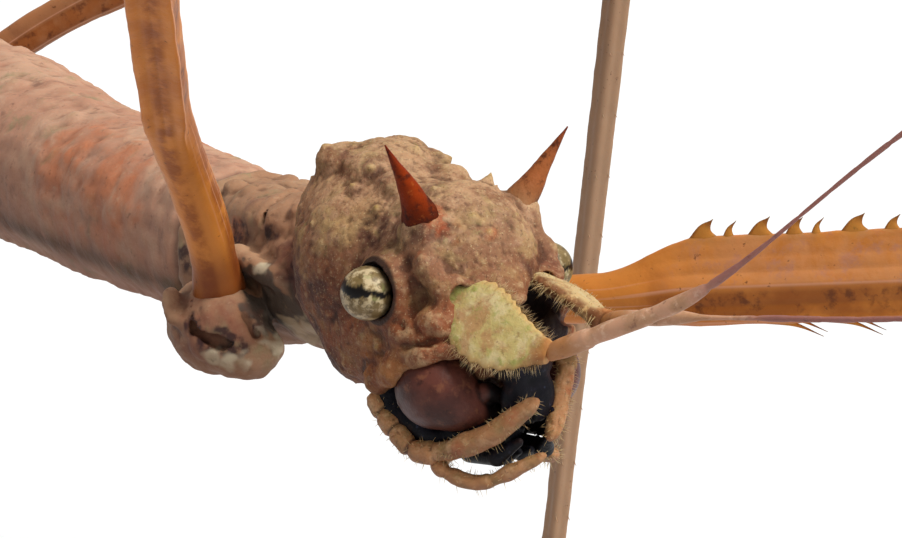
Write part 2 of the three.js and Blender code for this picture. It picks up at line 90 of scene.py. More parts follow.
# The pose in degrees: the heading and rise with which the leg leaves the trunk, those of the rest
# of the femur, and the heading of the shin. 0 is straight ahead, 90 straight out to the leg's side.
POSE = {
    ("fore", -1): dict(launch=(62, 64), femur=(25.5, 32.5), shin=100),
    ("fore", 1): dict(launch=(33, 3), femur=(42, 6.0), shin=38),
    ("middle", -1): dict(launch=(100, 20), femur=(112, 24), shin=118),
    ("middle", 1): dict(launch=(59, 44), femur=(55.9, 24.2), shin=180),
    ("hind", -1): dict(launch=(130, 18), femur=(142, 22), shin=140),
    ("hind", 1): dict(launch=(150, 18), femur=(162, 20), shin=160),
}
BOW = 10  # length of the curved root of each femur
FORE_BOW = 0.36  # how far the root of a fore femur also bows in towards the head
ANKLE = 3.2  # height of the ankles
FLOOR_GAP = 0.02  # height of the lowest points of the feet
SIDES = {"right": -1, "left": 1}
UP = (0, 0, 1)


# ---- Numbers and curves ----


def smooth(x, start, end):
    """0 before start, 1 after end, and an even turn between them."""
    t = np.clip((np.asarray(x, float) - start) / (end - start), 0, 1)
    return t * t * (3 - 2 * t)


def mix(a, b, t):
    """a at t = 0 and b at t = 1."""
    return a + (b - a) * t


def unit(vectors):
    """Vectors in the same ways, with a length of 1."""
    vectors = np.asarray(vectors, float)
    return vectors / np.maximum(np.linalg.norm(vectors, axis=-1, keepdims=True), 1e-12)


def table(spots, values):
    """A smooth function of one number through a few values."""
    spots, values = np.asarray(spots, float), np.asarray(values, float)

    def read(x):
        x = np.clip(x, spots[0], spots[-1])
        i = np.clip(np.searchsorted(spots, x, side="right") - 1, 0, len(spots) - 2)
        slopes = np.gradient(values, spots)
        width = spots[i + 1] - spots[i]
        t = (x - spots[i]) / width
        return (
            (1 + 2 * t) * (1 - t) ** 2 * values[i]
            + t * (1 - t) ** 2 * width * slopes[i]
            + t**2 * (3 - 2 * t) * values[i + 1]
            - t**2 * (1 - t) * width * slopes[i + 1]
        )

    return read


def rounding(past, span, depth):
    """1 up to an end, where past is 0, and then a fall like the side of a ball's over the span."""
    return np.sqrt(1 - depth * np.clip(past / span, 0, 1) ** 2)


def bell(x, width):
    """1 at 0, falling evenly to both sides."""
    return np.exp(-((x / width) ** 2))


def turned_by(angle, start):
    """How far an angle is from another, between minus and plus half a turn."""
    return np.angle(np.exp(1j * (angle - start)))


def evenly(points, count):
    """A polyline's points, laid out again at equal distances."""
    points = np.asarray(points, float)
    run = np.concatenate([[0], np.cumsum(np.linalg.norm(np.diff(points, axis=0), axis=1))])
    spots = np.linspace(0, run[-1], count)
    return np.stack([np.interp(spots, run, points[:, k]) for k in range(3)], 1)


def curve(places, count):
    """A smooth curve through a few places: a centripetal Catmull-Rom spline."""
    places = np.asarray(places, float)
    ends = [2 * places[0] - places[1], *places, 2 * places[-1] - places[-2]]
    run = []
    for p0, p1, p2, p3 in zip(ends, ends[1:], ends[2:], ends[3:]):
        knots = np.cumsum([0] + [np.linalg.norm(b - a) ** 0.5 for a, b in ((p0, p1), (p1, p2), (p2, p3))])
        t = np.linspace(knots[1], knots[2], 40)[:, None]

        def between(a, b, i, j):
            span = knots[j] - knots[i]
            return (knots[j] - t) / span * a + (t - knots[i]) / span * b

        a1, a2, a3 = between(p0, p1, 0, 1), between(p1, p2, 1, 2), between(p2, p3, 2, 3)
        b1, b2 = between(a1, a2, 0, 2), between(a2, a3, 1, 3)
        run.append(between(b1, b2, 1, 2))
    return evenly(np.concatenate(run), count)


def noise(points, pitch, seed):
    """Smooth noise from -1 to 1 whose features are about `pitch` across."""
    lattice = np.random.default_rng(seed).uniform(-1, 1, (32, 32, 32))
    cell = np.asarray(points) / pitch
    low = np.floor(cell).astype(int)
    part = cell - low
    part = part * part * (3 - 2 * part)
    total = np.zeros(len(cell))
    for corner in np.ndindex(2, 2, 2):
        weight = np.prod(np.where(corner, part, 1 - part), axis=1)
        total += weight * lattice[tuple(((low + corner) % 32).T)]
    return total


def pebbles(points, pitch, seed):
    """Round grains in a loose scatter, from 1 at the top of each to 0 between them."""
    jitter = np.random.default_rng(seed).uniform(0.15, 0.85, (24, 24, 24, 3))
    cell = np.asarray(points) / pitch
    low = np.floor(cell).astype(int)
    nearest = np.full(len(cell), 9.0)
    for step in np.ndindex(3, 3, 3):
        spot = low + np.array(step) - 1
        seeds = spot + jitter[tuple((spot % 24).T)]
        nearest = np.minimum(nearest, np.linalg.norm(cell - seeds, axis=1))
    return 1 - np.minimum(nearest / 0.8, 1)


# ---- Skins: points, four-sided and three-sided faces, and paint masks per point ----


class Skin:
    """The surface of one piece."""

    def __init__(self, points, quads, tris=None, paint=None):
        self.points = np.asarray(points, float)
        self.quads = np.asarray(quads, int).reshape(-1, 4)
        self.tris = np.zeros((0, 3), int) if tris is None else np.asarray(tris, int).reshape(-1, 3)
        self.paint = paint or {}

    def normals(self):
        """The way out of the skin at each point."""
        total = np.zeros_like(self.points)
        for faces in (self.quads, self.tris):
            if len(faces):
                a, b, c = (self.points[faces[:, k]] for k in range(3))
                last = self.points[faces[:, -1]]
                face = np.cross(b - a, c - a) + (np.cross(c - a, last - a) if faces.shape[1] == 4 else 0)
                for k in range(faces.shape[1]):
                    for axis in range(3):
                        total[:, axis] += np.bincount(faces[:, k], face[:, axis], len(self.points))
        return unit(total)

    def push(self, height):
        """Moves each point along its normal."""
        self.points += self.normals() * np.asarray(height)[:, None]

    def relief(self, rounds):
        """How far each point stands out from the skin around it: below 0 in a hollow. The more
        rounds of smoothing, the wider the skin around it."""
        loops = [np.roll(faces, -1, axis=1) for faces in (self.quads, self.tris)]
        start = np.concatenate([self.quads.ravel(), self.tris.ravel()])
        end = np.concatenate([loop.ravel() for loop in loops])
        size = len(self.points)
        count = np.maximum(np.bincount(start, minlength=size) + np.bincount(end, minlength=size), 1)
        calm = self.points.copy()
        for _ in range(rounds):
            pairs = [(np.bincount(start, calm[end, axis], size), np.bincount(end, calm[start, axis], size))
                     for axis in range(3)]
            calm = np.stack([one + other for one, other in pairs], 1) / count[:, None]
        return np.einsum("ij,ij->i", self.points - calm, self.normals())

    def turned(self, way):
        """The skin in other coordinates."""
        return Skin(way(self.points), self.quads, self.tris, self.paint)

    def angle(self):
        """Each point's angle around a loft, from 0 to a whole turn."""
        return self.paint["around"] * 2 * np.pi


def merged(skins):
    """Several skins as one, with 0 for a paint that one of them lacks."""
    names = sorted({name for skin in skins for name in skin.paint})
    counts = np.cumsum([0] + [len(skin.points) for skin in skins])
    paint = {
        name: np.concatenate([skin.paint.get(name, np.zeros(len(skin.points))) for skin in skins])
        for name in names
    }
    return Skin(
        np.concatenate([skin.points for skin in skins]),
        np.concatenate([skin.quads + count for skin, count in zip(skins, counts)]),
        np.concatenate([skin.tris + count for skin, count in zip(skins, counts)]),
        paint,
    )


def loft(path, up, ring, sides):
    """A closed skin along a path. ring(t, a) gives how far across and how far up the skin lies at a
    part t of the path and an angle a, which goes from across (0) over up (a quarter turn)."""
    path = np.asarray(path, float)
    along = unit(np.gradient(path, axis=0))
    up = np.asarray(up, float)
    raised = unit(up - along * (along @ up)[:, None])
    across = np.cross(along, raised)
    t = np.linspace(0, 1, len(path))[:, None]
    angle = np.linspace(0, 2 * np.pi, sides, endpoint=False)[None, :]
    x, z = (np.broadcast_to(v, (len(path), sides)) for v in ring(t, angle))
    rings = path[:, None] + across[:, None] * x[..., None] + raised[:, None] * z[..., None]
    points = np.concatenate([rings.reshape(-1, 3), path[:1], path[-1:]])
    i, j = np.meshgrid(np.arange(len(path) - 1), np.arange(sides), indexing="ij")
    k = (j + 1) % sides
    quads = np.stack([i * sides + j, (i + 1) * sides + j, (i + 1) * sides + k, i * sides + k], -1)
    j = np.arange(sides)
    k = (j + 1) % sides
    first, last = len(points) - 2, len(points) - 1
    back = (len(path) - 1) * sides
    tris = np.concatenate([
        np.stack([np.full(sides, first), j, k], 1),
        np.stack([np.full(sides, last), back + k, back + j], 1),
    ])
    skin = Skin(points, quads.reshape(-1, 4), tris)
    skin.paint["along"] = np.concatenate([np.repeat(t[:, 0], sides), [0, 1]])
    skin.paint["around"] = np.concatenate([np.tile(angle[0] / (2 * np.pi), len(path)), [0, 0]])
    return skin


def oval(wide, high=None, low=None, square=2.0):
    """The ring of a rounded section, which is round at square 2 and four-edged above that."""

    def ring(t, a):
        c, s = np.cos(a), np.sin(a)
        swell = (np.abs(c) ** square + np.abs(s) ** square) ** (-1 / square)
        w = wide(t)
        top = high(t) if high else w
        under = low(t) if low else top
        return c * swell * w, s * swell * np.where(s > 0, top, under)

    return ring


# ---- Clay: lobes that melt together on a grid, and the skin around them ----


class Clay:
    """A grid of distances from a surface that lobes and rods are added to or pressed into. Where two
    of them meet, they blend over a length of their own."""

    def __init__(self, low, high, pitch):
        self.low, self.pitch = np.asarray(low, float), pitch
        self.shape = np.ceil((np.asarray(high) - self.low) / pitch).astype(int) + 1
        self.field = np.full(self.shape, 3.0, np.float32)

    def near(self, low, high):
        """The part of the grid inside a box, and its x, y and z."""
        first = np.clip(np.floor((low - self.low) / self.pitch).astype(int), 0, self.shape)
        last = np.clip(np.ceil((high - self.low) / self.pitch).astype(int) + 1, 0, self.shape)
        part = tuple(slice(a, b) for a, b in zip(first, last))
        spots = [self.low[k] + self.pitch * np.arange(first[k], last[k]) for k in range(3)]
        return part, np.meshgrid(*spots, indexing="ij", sparse=True)

    def apply(self, part, distance, blend, pressed):
        old = self.field[part]
        share = np.clip(0.5 + 0.5 * (old + distance if pressed else old - distance) / blend, 0, 1)
        if pressed:
            new = -distance + (old + distance) * share + blend * share * (1 - share)
        else:
            new = old + (distance - old) * share - blend * share * (1 - share)
        self.field[part] = new

    def lobe(self, middle, size, blend, pressed=False):
        """A ball with its own radius along each axis."""
        middle, size = np.asarray(middle, float), np.asarray(size, float)
        reach = size + 2 * blend + 0.2
        part, (x, y, z) = self.near(middle - reach, middle + reach)
        sides = list(zip((x - middle[0], y - middle[1], z - middle[2]), size))
        far = np.sqrt(sum((offset / radius) ** 2 for offset, radius in sides))
        slope = np.sqrt(sum((offset / radius**2) ** 2 for offset, radius in sides))
        distance = (far * (far - 1) / np.maximum(slope, 1e-6)).astype(np.float32)
        distance = np.where(far < 1e-3, -size.min(), distance)
        self.apply(part, distance, blend, pressed)

    def rod(self, places, radii, blend, pressed=False):
        """A bent rod through a few places, with its own radius at each of them."""
        for a, b, ra, rb in zip(places, places[1:], radii, radii[1:]):
            a, b = np.asarray(a, float), np.asarray(b, float)
            reach = max(ra, rb) + 2 * blend + 0.2
            part, (x, y, z) = self.near(np.minimum(a, b) - reach, np.maximum(a, b) + reach)
            way = b - a
            sides = list(zip((x - a[0], y - a[1], z - a[2]), way))
            t = np.clip(sum(offset * step for offset, step in sides) / (way @ way), 0, 1)
            gap = np.sqrt(sum((offset - t * step) ** 2 for offset, step in sides))
            distance = (gap - (ra + (rb - ra) * t)).astype(np.float32)
            self.apply(part, distance, blend, pressed)

    def skin(self):
        """The surface where the field is 0: one point in each cell that it crosses, joined by quads."""
        f = self.field
        inside = f < 0
        corners = [inside[i:i - 1 or None, j:j - 1 or None, k:k - 1 or None]
                   for i, j, k in np.ndindex(2, 2, 2)]
        count = sum(corner.astype(np.int8) for corner in corners)
        cells = np.argwhere((count > 0) & (count < 8))
        number = np.full(count.shape, -1, np.int64)
        number[tuple(cells.T)] = np.arange(len(cells))
        total, hits = np.zeros((len(cells), 3)), np.zeros(len(cells))
        steps = np.eye(3, dtype=int)
        for axis in range(3):
            for i, j in np.ndindex(2, 2):
                start = cells + i * steps[(axis + 1) % 3] + j * steps[(axis + 2) % 3]
                a = f[tuple(start.T)]
                b = f[tuple((start + steps[axis]).T)]
                hit = (a < 0) != (b < 0)
                t = np.where(hit, a / np.where(hit, a - b, 1), 0)
                total += np.where(hit[:, None], start + t[:, None] * steps[axis], 0)
                hits += hit
        points = self.low + self.pitch * total / hits[:, None]
        quads = []
        for axis in range(3):
            u, v = steps[(axis + 1) % 3], steps[(axis + 2) % 3]
            one = tuple(slice(None, -1) if k == axis else slice(None) for k in range(3))
            two = tuple(slice(1, None) if k == axis else slice(None) for k in range(3))
            for out in (False, True):
                edge = np.argwhere((inside[one] != out) & (inside[two] == out))
                edge = edge[(edge[:, (axis + 1) % 3] > 0) & (edge[:, (axis + 2) % 3] > 0)]
                ring = [edge - u - v, edge - v, edge, edge - u]
                ids = np.stack([number[tuple(spot.T)] for spot in ring], 1)
                quads.append(ids[:, ::-1] if out else ids)
        return Skin(points, np.concatenate(quads))


# ---- The legs ----


def spine_height(back):
    """The height of the trunk's middle line."""
    front = NECK + sum(length for _, length, _, _ in TRUNK[:3])
    end = NECK + sum(length for _, length, _, _ in TRUNK)
    sagging = np.maximum(0, np.asarray(back, float) - front) / (end - front)
    return EYE_LEVEL - SPINE_DROP - TAIL_SAG * sagging**2


def direction(heading, rise, side):
    turn, lift = math.radians(heading), math.radians(rise)
    level = math.cos(lift)
    return np.array([side * math.sin(turn) * level, -math.cos(turn) * level, math.sin(lift)])


def hip_place(pair, side):
    """Where a leg leaves the trunk."""
    out, back, down = LEGS[pair]["hip"]
    return np.array([side * out, back, spine_height(back) - down])


def launch_way(pair, side):
    """The way in which a leg leaves the trunk."""
    return direction(*POSE[pair, side]["launch"], side)


def leg_paths(pair, side):
    """The middle lines of a leg's femur, tibia and foot, and the way that its foot points."""
    leg, pose = LEGS[pair], POSE[pair, side]
    hip = hip_place(pair, side)
    launch, onward = launch_way(pair, side), direction(*pose["femur"], side)
    elbow = hip + launch * BOW / 2
    end = elbow + onward * BOW / 2
    knee = end + onward * (leg["femur"] - BOW)
    t = np.linspace(0, 1, 40)[:, None]
    bend = (1 - t) ** 2 * hip + 2 * t * (1 - t) * elbow + t**2 * end
    if pair == "fore":
        # the head fits between the two fore femora
        bend += np.array([-side * 0.87, -0.48, 0]) * FORE_BOW * np.sin(np.pi * t**0.75) ** 1.5
    femur = np.concatenate([bend, knee[None]])
    way = direction(pose["shin"], 0, side)
    drop = knee[2] - ANKLE
    ankle = knee + way * math.sqrt(leg["tibia"] ** 2 - drop**2)
    ankle[2] = ANKLE
    foot = [ankle]
    for part, height in ((0.35, 1.35), (0.6, 0.45), (0.92, 0.45)):
        foot.append(np.array([*(ankle + way * leg["tarsus"] * part)[:2], height]))
    return femur, np.array([knee, ankle]), foot, way


# The section of a fore femur, from its crest down one side: how far out and how far up, as parts
# of its half width and of its half depths above and below.
BLADE = [
    (0.0, 1.0), (0.12, 0.98), (0.19, 0.88), (0.36, 0.66), (0.62, 0.4), (0.97, 0.18),
    (0.9, 0.04), (0.8, -0.3), (0.82, -0.68), (0.9, -0.95), (0.72, -1.0), (0.4, -0.9),
]
BLADE_MIDDLE = (0.0, -0.86)  # the middle of its underside


def blade_ring(wide, high, low, blade):
    """A ring that turns from an oval to the ridged section of a fore femur where blade(t) is 1."""
    half = np.array(BLADE)
    outline = np.concatenate([half, [BLADE_MIDDLE], half[:0:-1] * [-1, 1]])
    turn = np.mod(np.unwrap(np.arctan2(outline[:, 1], outline[:, 0])), 2 * np.pi)
    order = np.argsort(turn)
    angles = turn[order]
    reach = np.linalg.norm(outline, axis=1)[order]

    def ring(t, a):
        ridged = np.interp(a, angles, reach, period=2 * np.pi)
        c, s = np.cos(a), np.sin(a)
        size = mix(1.0, ridged, blade(t))
        return c * size * wide(t), s * size * np.where(s > 0, high(t), low(t))

    return ring


def ribbed(ring, ribs):
    """A ring whose size also follows ribs(t, a)."""
    return lambda t, a: [reach * ribs(t, a) for reach in ring(t, a)]


def femur_skin(pair, side):
    """A femur with its middle line, and its half depths above and below as functions along it."""
    leg = LEGS[pair]
    length = leg["femur"]
    path = evenly(leg_paths(pair, side)[0], int(length / 0.2))
    knee = lambda t: 1 - 0.35 * smooth(t, 0.5, 1)
    grown = lambda t: smooth(t * length, BOW * 0.72, BOW * 1.06)
    flare = lambda t: 0.14 * smooth(t * length, 2.2, 0.4)
    end = lambda t: rounding(t - 0.985, 0.015, 0.6)
    waist = lambda t: 1 - 0.08 * smooth(t, 0.3, 0.5) + 0.14 * smooth(t, 0.94, 0.985)
    depth = lambda edge: lambda t: (mix(leg["root"], leg[edge], grown(t)) + flare(t)) * knee(t) * end(t)
    high, low = depth("crest"), depth("keel")
    wide = lambda t: (leg["across"] + flare(t)) * end(t) * waist(t)
    if pair == "fore":
        skin = loft(path, UP, blade_ring(wide, high, low, grown), 96)
    else:
        ribs = lambda t, a: 0.955 - 0.05 * np.cos(4 * a) * smooth(t * length, 2, 8)
        skin = loft(path, UP, ribbed(oval(wide, high, low, square=3.4), ribs), 64)
    grit = 0.025 * noise(skin.points, 0.9, 12) + 0.012 * noise(skin.points, 0.3, 13)
    skin.push(grit - 0.012)
    return skin, path, high, low


def thorn(root, way, lean, height, width, thick, sides=10):
    """A flattened thorn that stands up and hooks over towards `lean`."""
    middle = root + way * height * 0.5 + lean * height * 0.1
    tip = root + way * height + lean * height * 0.55
    path = curve([root - way * 0.2, middle, tip], 16)
    across = lambda t: thick * ((1 - t) ** 0.9 + 0.03)
    along = lambda t: width * (1 - t) ** 1.5 + 0.01
    return loft(path, lean, oval(across, along), sides)


# The saw on the crest of a fore femur: each thorn's place from the hip, height and half width,
# which come again every SAW_PITCH.
SAW = [
    (10.65, 0.5, 0.66), (11.4, 0.42, 0.26), (12.38, 0.5, 0.6), (13.4, 0.44, 0.42),
    (14.05, 0.4, 0.22), (15.22, 0.48, 0.66), (16.3, 0.4, 0.4),
]
SAW_PITCH = 6.9
FIRST_SPINE = {-1: 19.5, 1: 12.6}  # how far from the hip the spines below each fore femur begin
SPINE_PITCH = 1.75
SPINE_OUT = 0.32  # how far the two rows stand from the middle


def spot_on(path, length, spot):
    """The place at a distance along a path."""
    run = np.linspace(0, length, len(path))
    return np.array([np.interp(spot, run, path[:, k]) for k in range(3)])


def upright(along):
    """The ways up from and across a line that runs in the way `along`."""
    up = unit(np.array(UP) - along * along[2])
    return up, np.cross(along, up)


def saw_skins(path, length, high, low, first_spine):
    """The thorns above and the two rows of slim spines below a fore femur."""
    skins = []

    def stand(spot):
        at = spot_on(path, length, spot)
        along = unit(spot_on(path, length, spot + 0.1) - at)
        return at, along, *upright(along)

    for turn in range(5):
        for first, height, width in SAW:
            spot = first + turn * SAW_PITCH
            if spot < length - 1.5:
                at, along, up, _ = stand(spot)
                edge = at + up * (high(spot / length) - 0.1)
                skins.append(thorn(edge, up, along, height + 0.1, width * 1.12, 0.085))
    spot = first_spine
    while spot < length - 1.5:
        at, along, up, across = stand(spot)
        for side in (-1, 1):
            foot = at - up * (low(spot / length) - 0.1) + across * side * SPINE_OUT
            skins.append(thorn(foot, unit(along - up * 0.2), -up * 0.3, 1.55, 0.16, 0.09))
        spot += SPINE_PITCH
    return skins


def small_spines(path, length, low, out):
    """A row of short spines under a middle or hind femur, on both edges."""
    skins = []
    along = unit(path[-1] - path[-5])
    up, across = upright(along)
    for spot in np.arange(length * 0.3, length - 1, 2.3):
        at = spot_on(path, length, spot)
        for side in (-1, 1):
            foot = at - up * (low(spot / length) - 0.15) + across * side * out
            skins.append(thorn(foot, unit(-up + along * 0.4), along, 0.42, 0.16, 0.12, 8))
    return skins


def shin_skin(pair, side):
    """A tibia, with two rows of small spines behind it."""
    leg = LEGS[pair]
    _, line, _, way = leg_paths(pair, side)
    path = evenly(line, int(leg["tibia"] / 0.25))
    shin = leg["shin"]
    knobs = lambda t: 1 + 0.16 * smooth(t, 0.05, 0.0) + 0.14 * smooth(t, 0.97, 1.0)
    end = lambda t: rounding(np.abs(t - 0.5) - 0.49, 0.01, 0.7)
    thick = lambda t: shin * mix(1.02, 0.9, t) * knobs(t) * end(t)
    ribs = lambda t, a: 0.96 - 0.06 * np.cos(4 * a)
    skin = loft(path, way, ribbed(oval(thick, square=3.2), ribs), 56)
    skin.push(0.02 * noise(skin.points, 0.8, 14) + 0.01 * noise(skin.points, 0.3, 15) - 0.01)
    skins = [skin]
    along = unit(line[1] - line[0])
    out = unit(way - along * (along @ way))
    across = np.cross(along, out)
    for spot in np.arange(5, leg["tibia"] - 2, 3.1):
        for edge in (-1, 1):
            foot = line[0] + along * spot - out * shin * 0.7 + across * edge * shin * 0.6
            skins.append(thorn(foot, unit(along * 0.8 - out * 0.4), -out, 0.3, 0.08, 0.07, 8))
    return merged(skins)


def foot_skin(pair, side):
    """The five joints of a foot, with a pad and two claws at its end."""
    _, _, foot, way = leg_paths(pair, side)
    swell = jointed([0, 0.42, 0.58, 0.68, 0.77, 1], 0.76)
    path = curve(foot, 150)
    girth = lambda t: 0.46 * swell(t) * rounding(t - 0.96, 0.04, 0.8) * mix(1.0, 0.9, t)
    skins = [loft(path, UP, oval(girth), 28)]
    toe = path[-1]
    across = np.array([-way[1], way[0], 0])
    dome = lambda size: lambda t: size * np.sin(np.pi * (0.04 + 0.93 * t)) ** 0.5
    pad = loft(evenly([toe - way * 0.5, toe + way * 0.55], 24), UP, oval(dome(0.34), dome(0.2)), 20)
    pad.points[:, 2] -= 0.22
    skins.append(pad)
    for edge in (-1, 1):
        root = toe - way * 0.25 + across * edge * 0.16
        bend = toe + way * 0.3 + across * edge * 0.5 + (0, 0, 0.16)
        tip = toe + way * 0.85 + across * edge * 0.66 - (0, 0, 0.33)
        skins.append(loft(curve([root, bend, tip], 26), across, oval(lambda t: 0.15 * (1 - 0.88 * t)), 12))
    skin = merged(skins)
    skin.points[:, 2] = np.maximum(skin.points[:, 2], FLOOR_GAP)
    return skin


# ---- The head ----

# Lobes that melt into one another, from the middle of the eyes: middle and half sizes.
SKULL = [
    ([0, 2.85, -0.05], [3.12, 3.3, 2.87]),  # the back of the head
    ([0, 3.6, 0.55], [1.95, 2.5, 2.95]),  # the ridge of the crown
    ([0, 4.3, 0.9], [2.3, 1.95, 2.2]),  # the nape
    ([0, 0.1, 0.1], [2.5, 2.4, 2.6]),  # the forehead
    ([0, 1.05, -1.6], [2.8, 3.05, 2.09]),  # the cheeks
    ([0, -1.5, -1.1], [1.85, 1.6, 1.8]),  # the face
]
EYE_OUT, EYE_RADIUS = 2.95, 0.745
HORN_BASE, HORN_TIP, HORN_RADIUS = (1.55, -0.5, 1.75), (3.05, -0.9, 4.1), 0.62
HORN_ROOT = 0.21  # the part of a horn that is sunk in the head
JAW = (1.78, -1.5, -2.7)

# Feelers and palps follow smooth curves through a few places, from the middle of the eyes.
SCAPES = {
    "right": [[-1.5, -1.6, 0.1], [-1.05, -3.3, -0.82], [-0.35, -4.6, -1.2]],
    "left": [[1.5, -1.5, 0.1], [1.75, -2.95, -0.25], [1.9, -4.1, -0.75]],
}
SCAPE_FACE = {"right": (-0.6, -0.5, 0.45), "left": (0.42, -0.52, 0.74)}
SCAPE_THICK = {"right": 0.16, "left": 0.25}
WHIPS = {
    "right": [
        [-0.35, -4.6, -1.2], [0.3, -5.95, -0.5], [1.55, -8.35, 0.85], [3.75, -13.1, 5.3],
        [9, -26, 16], [17, -42, 25], [25, -56, 30],
    ],
    "left": [
        [1.9, -4.1, -0.75], [2.35, -5.9, -0.35], [3.2, -8.2, -0.05], [4.7, -13.2, 0.68],
        [9, -27, 4.0], [17, -44, 8.5], [26, -60, 14],
    ],
}
PALPS = {
    "maxillary_palp_right": [
        [-2.3, 0.8, -3.2], [-2.3, -0.2, -3.9], [-2.1, -1.0, -4.4], [-1.3, -2.85, -3.8], [-0.4, -4.2, -2.55],
    ],
    "maxillary_palp_left": [
        [2.3, -1.6, -1.7], [1.5, -2.95, -2.15], [1.08, -3.2, -2.95], [0.68, -3.5, -3.6], [0.4, -3.65, -3.9],
    ],
    "labial_palp_right": [
        [-0.9, -1.1, -4.5], [-1.75, -1.5, -4.78], [-1.15, -2.5, -5.1], [-0.5, -3.3, -4.68], [0.1, -3.9, -4.2],
    ],
    "labial_palp_left": [[0.8, -1.5, -4.6], [1.45, -2.2, -4.8], [0.95, -3.0, -4.5]],
}
PALP_GIRTHS = {"maxillary_palp_right": 0.34, "maxillary_palp_left": 0.28}


def sided(place, side):
    """A place given for the left side, on the side asked for."""
    return np.array([side * place[0], place[1], place[2]], float)


def sided_at(side):
    return lambda x, y, z: sided((x, y, z), side)


def on_head(points):
    """From the head's own coordinates to the body's: the head is turned a little to the left."""
    c, s = math.cos(HEAD_TURN), math.sin(HEAD_TURN)
    x, y, z = np.asarray(points, float).T
    return np.stack([c * x - s * y, s * x + c * y, z + EYE_LEVEL], 1)


def mirrored(skin):
    """A skin of the right side as one of the left side."""
    return Skin(skin.points * [-1, 1, 1], skin.quads[:, ::-1], skin.tris[:, ::-1], skin.paint)


def skull_clay():
    """The head without its eyes, horns, jaws and feelers."""
    clay = Clay((-4.3, -4.6, -4.8), (4.3, 6.9, 4.6), 0.062)
    for middle, size in SKULL:
        clay.lobe(middle, size, 0.5)
    for side in (-1, 1):
        at = sided_at(side)
        # the crown's two rows of blunt bumps and the swelling behind each eye
        clay.lobe(at(0.95, 1.75, 2.5), (0.5, 0.5, 0.36), 0.4)
        clay.lobe(at(1.0, 3.05, 2.82), (0.55, 0.55, 0.36), 0.45)
        clay.lobe(at(1.1, 4.35, 2.86), (0.72, 0.75, 0.5), 0.4)
        # the socket of the eye: a rim around the ball
        clay.lobe(at(EYE_OUT - 0.5, 0, 0), (0.68, 1.08, 1.08), 0.3)
        clay.lobe(at(EYE_OUT + 0.16, -0.02, -0.05), (0.86, 0.85, 0.82), 0.08, pressed=True)
        clay.lobe(at(1.7, 2.3, -1.95), (1.05, 1.4, 1.2), 0.5)
        # the ridge from the horn down to the feeler, and the pit behind it
        ridge = [at(1.75, -0.6, 1.7), at(2.0, -1.3, 0.8), at(1.85, -1.75, 0.2), at(1.85, -2.0, -0.8)]
        clay.rod(ridge, [0.4, 0.24, 0.22, 0.2], 0.45)
        clay.lobe(at(2.5, -0.9, 0.9), (0.16, 0.16, 0.28), 0.2, pressed=True)
        clay.lobe(at(2.3, -0.9, 1.55), (0.2, 0.35, 0.35), 0.3, pressed=True)
        # the ring in which the feeler sits
        clay.lobe(at(1.5, -1.85, 0.12), (0.46, 0.36, 0.46), 0.16)
        clay.lobe(at(1.45, -2.2, 0.08), (0.27, 0.4, 0.27), 0.08, pressed=True)
        # the hollow over which the feeler's leaf lies
        clay.rod([at(0.95, -2.3, -0.35), at(0.5, -2.75, -0.7)], [0.5, 0.55], 0.3, pressed=True)
        # the cheek: its swelling, its lower ledge over the jaw and the groove above the ledge
        clay.lobe(at(2.05, -0.95, -1.25), (0.75, 0.9, 0.7), 0.4)
        clay.lobe(at(2.02, -1.72, -0.62), (0.5, 0.5, 0.46), 0.16)
        clay.rod([at(2.75, -0.95, -0.75), at(2.3, -1.25, -1.2)], [0.06, 0.08], 0.25, pressed=True)
        ledge = [at(1.6, -2.4, -1.2), at(2.25, -1.65, -1.6), at(2.62, -0.7, -2.15),
                 at(2.45, 0.35, -2.62), at(2.0, 1.2, -2.9)]
        clay.rod(ledge, [0.34, 0.34, 0.4, 0.34, 0.2], 0.35)
        groove = [at(1.7, -2.55, -0.98), at(2.3, -1.98, -1.15), at(2.72, -1.35, -1.33), at(2.95, -0.6, -1.5)]
        clay.rod(groove, [0.08, 0.1, 0.09, 0.04], 0.16, pressed=True)
        # the room that the jaw takes
        clay.lobe(sided(JAW, side), (1.08, 1.3, 1.2), 0.12, pressed=True)
        # the collar from which the horn grows
        clay.rod([at(1.3, -0.42, 1.4), at(1.53, -0.48, 1.7)], [0.74, 0.6], 0.35)
    # the seam across the forehead and the shield over the mouth
    clay.rod([(-1.1, -2.5, 0.2), (0, -2.85, 0.1), (1.1, -2.5, 0.2)], [0.1, 0.12, 0.1], 0.15, pressed=True)
    clay.lobe((0, -2.6, -1.7), (1.1, 0.75, 0.75), 0.3)
    # where the mouth and the jaws leave the head open
    clay.lobe((0, -2.4, -3.5), (1.8, 2.2, 1.3), 0.25, pressed=True)
    # where the neck goes in
    clay.lobe((0, 6.3, -0.6), (1.7, 0.8, 1.6), 0.4, pressed=True)
    return clay


def ball(middle, radius):
    """A ball as a loft along x."""
    turn = np.linspace(0, np.pi, 48)
    path = np.asarray(middle, float) + np.stack([-np.cos(turn), 0 * turn, 0 * turn], 1) * radius
    spots = np.linspace(0, 1, len(turn))
    return loft(path, UP, oval(lambda t: radius * np.sin(np.interp(t, spots, turn))), 72)


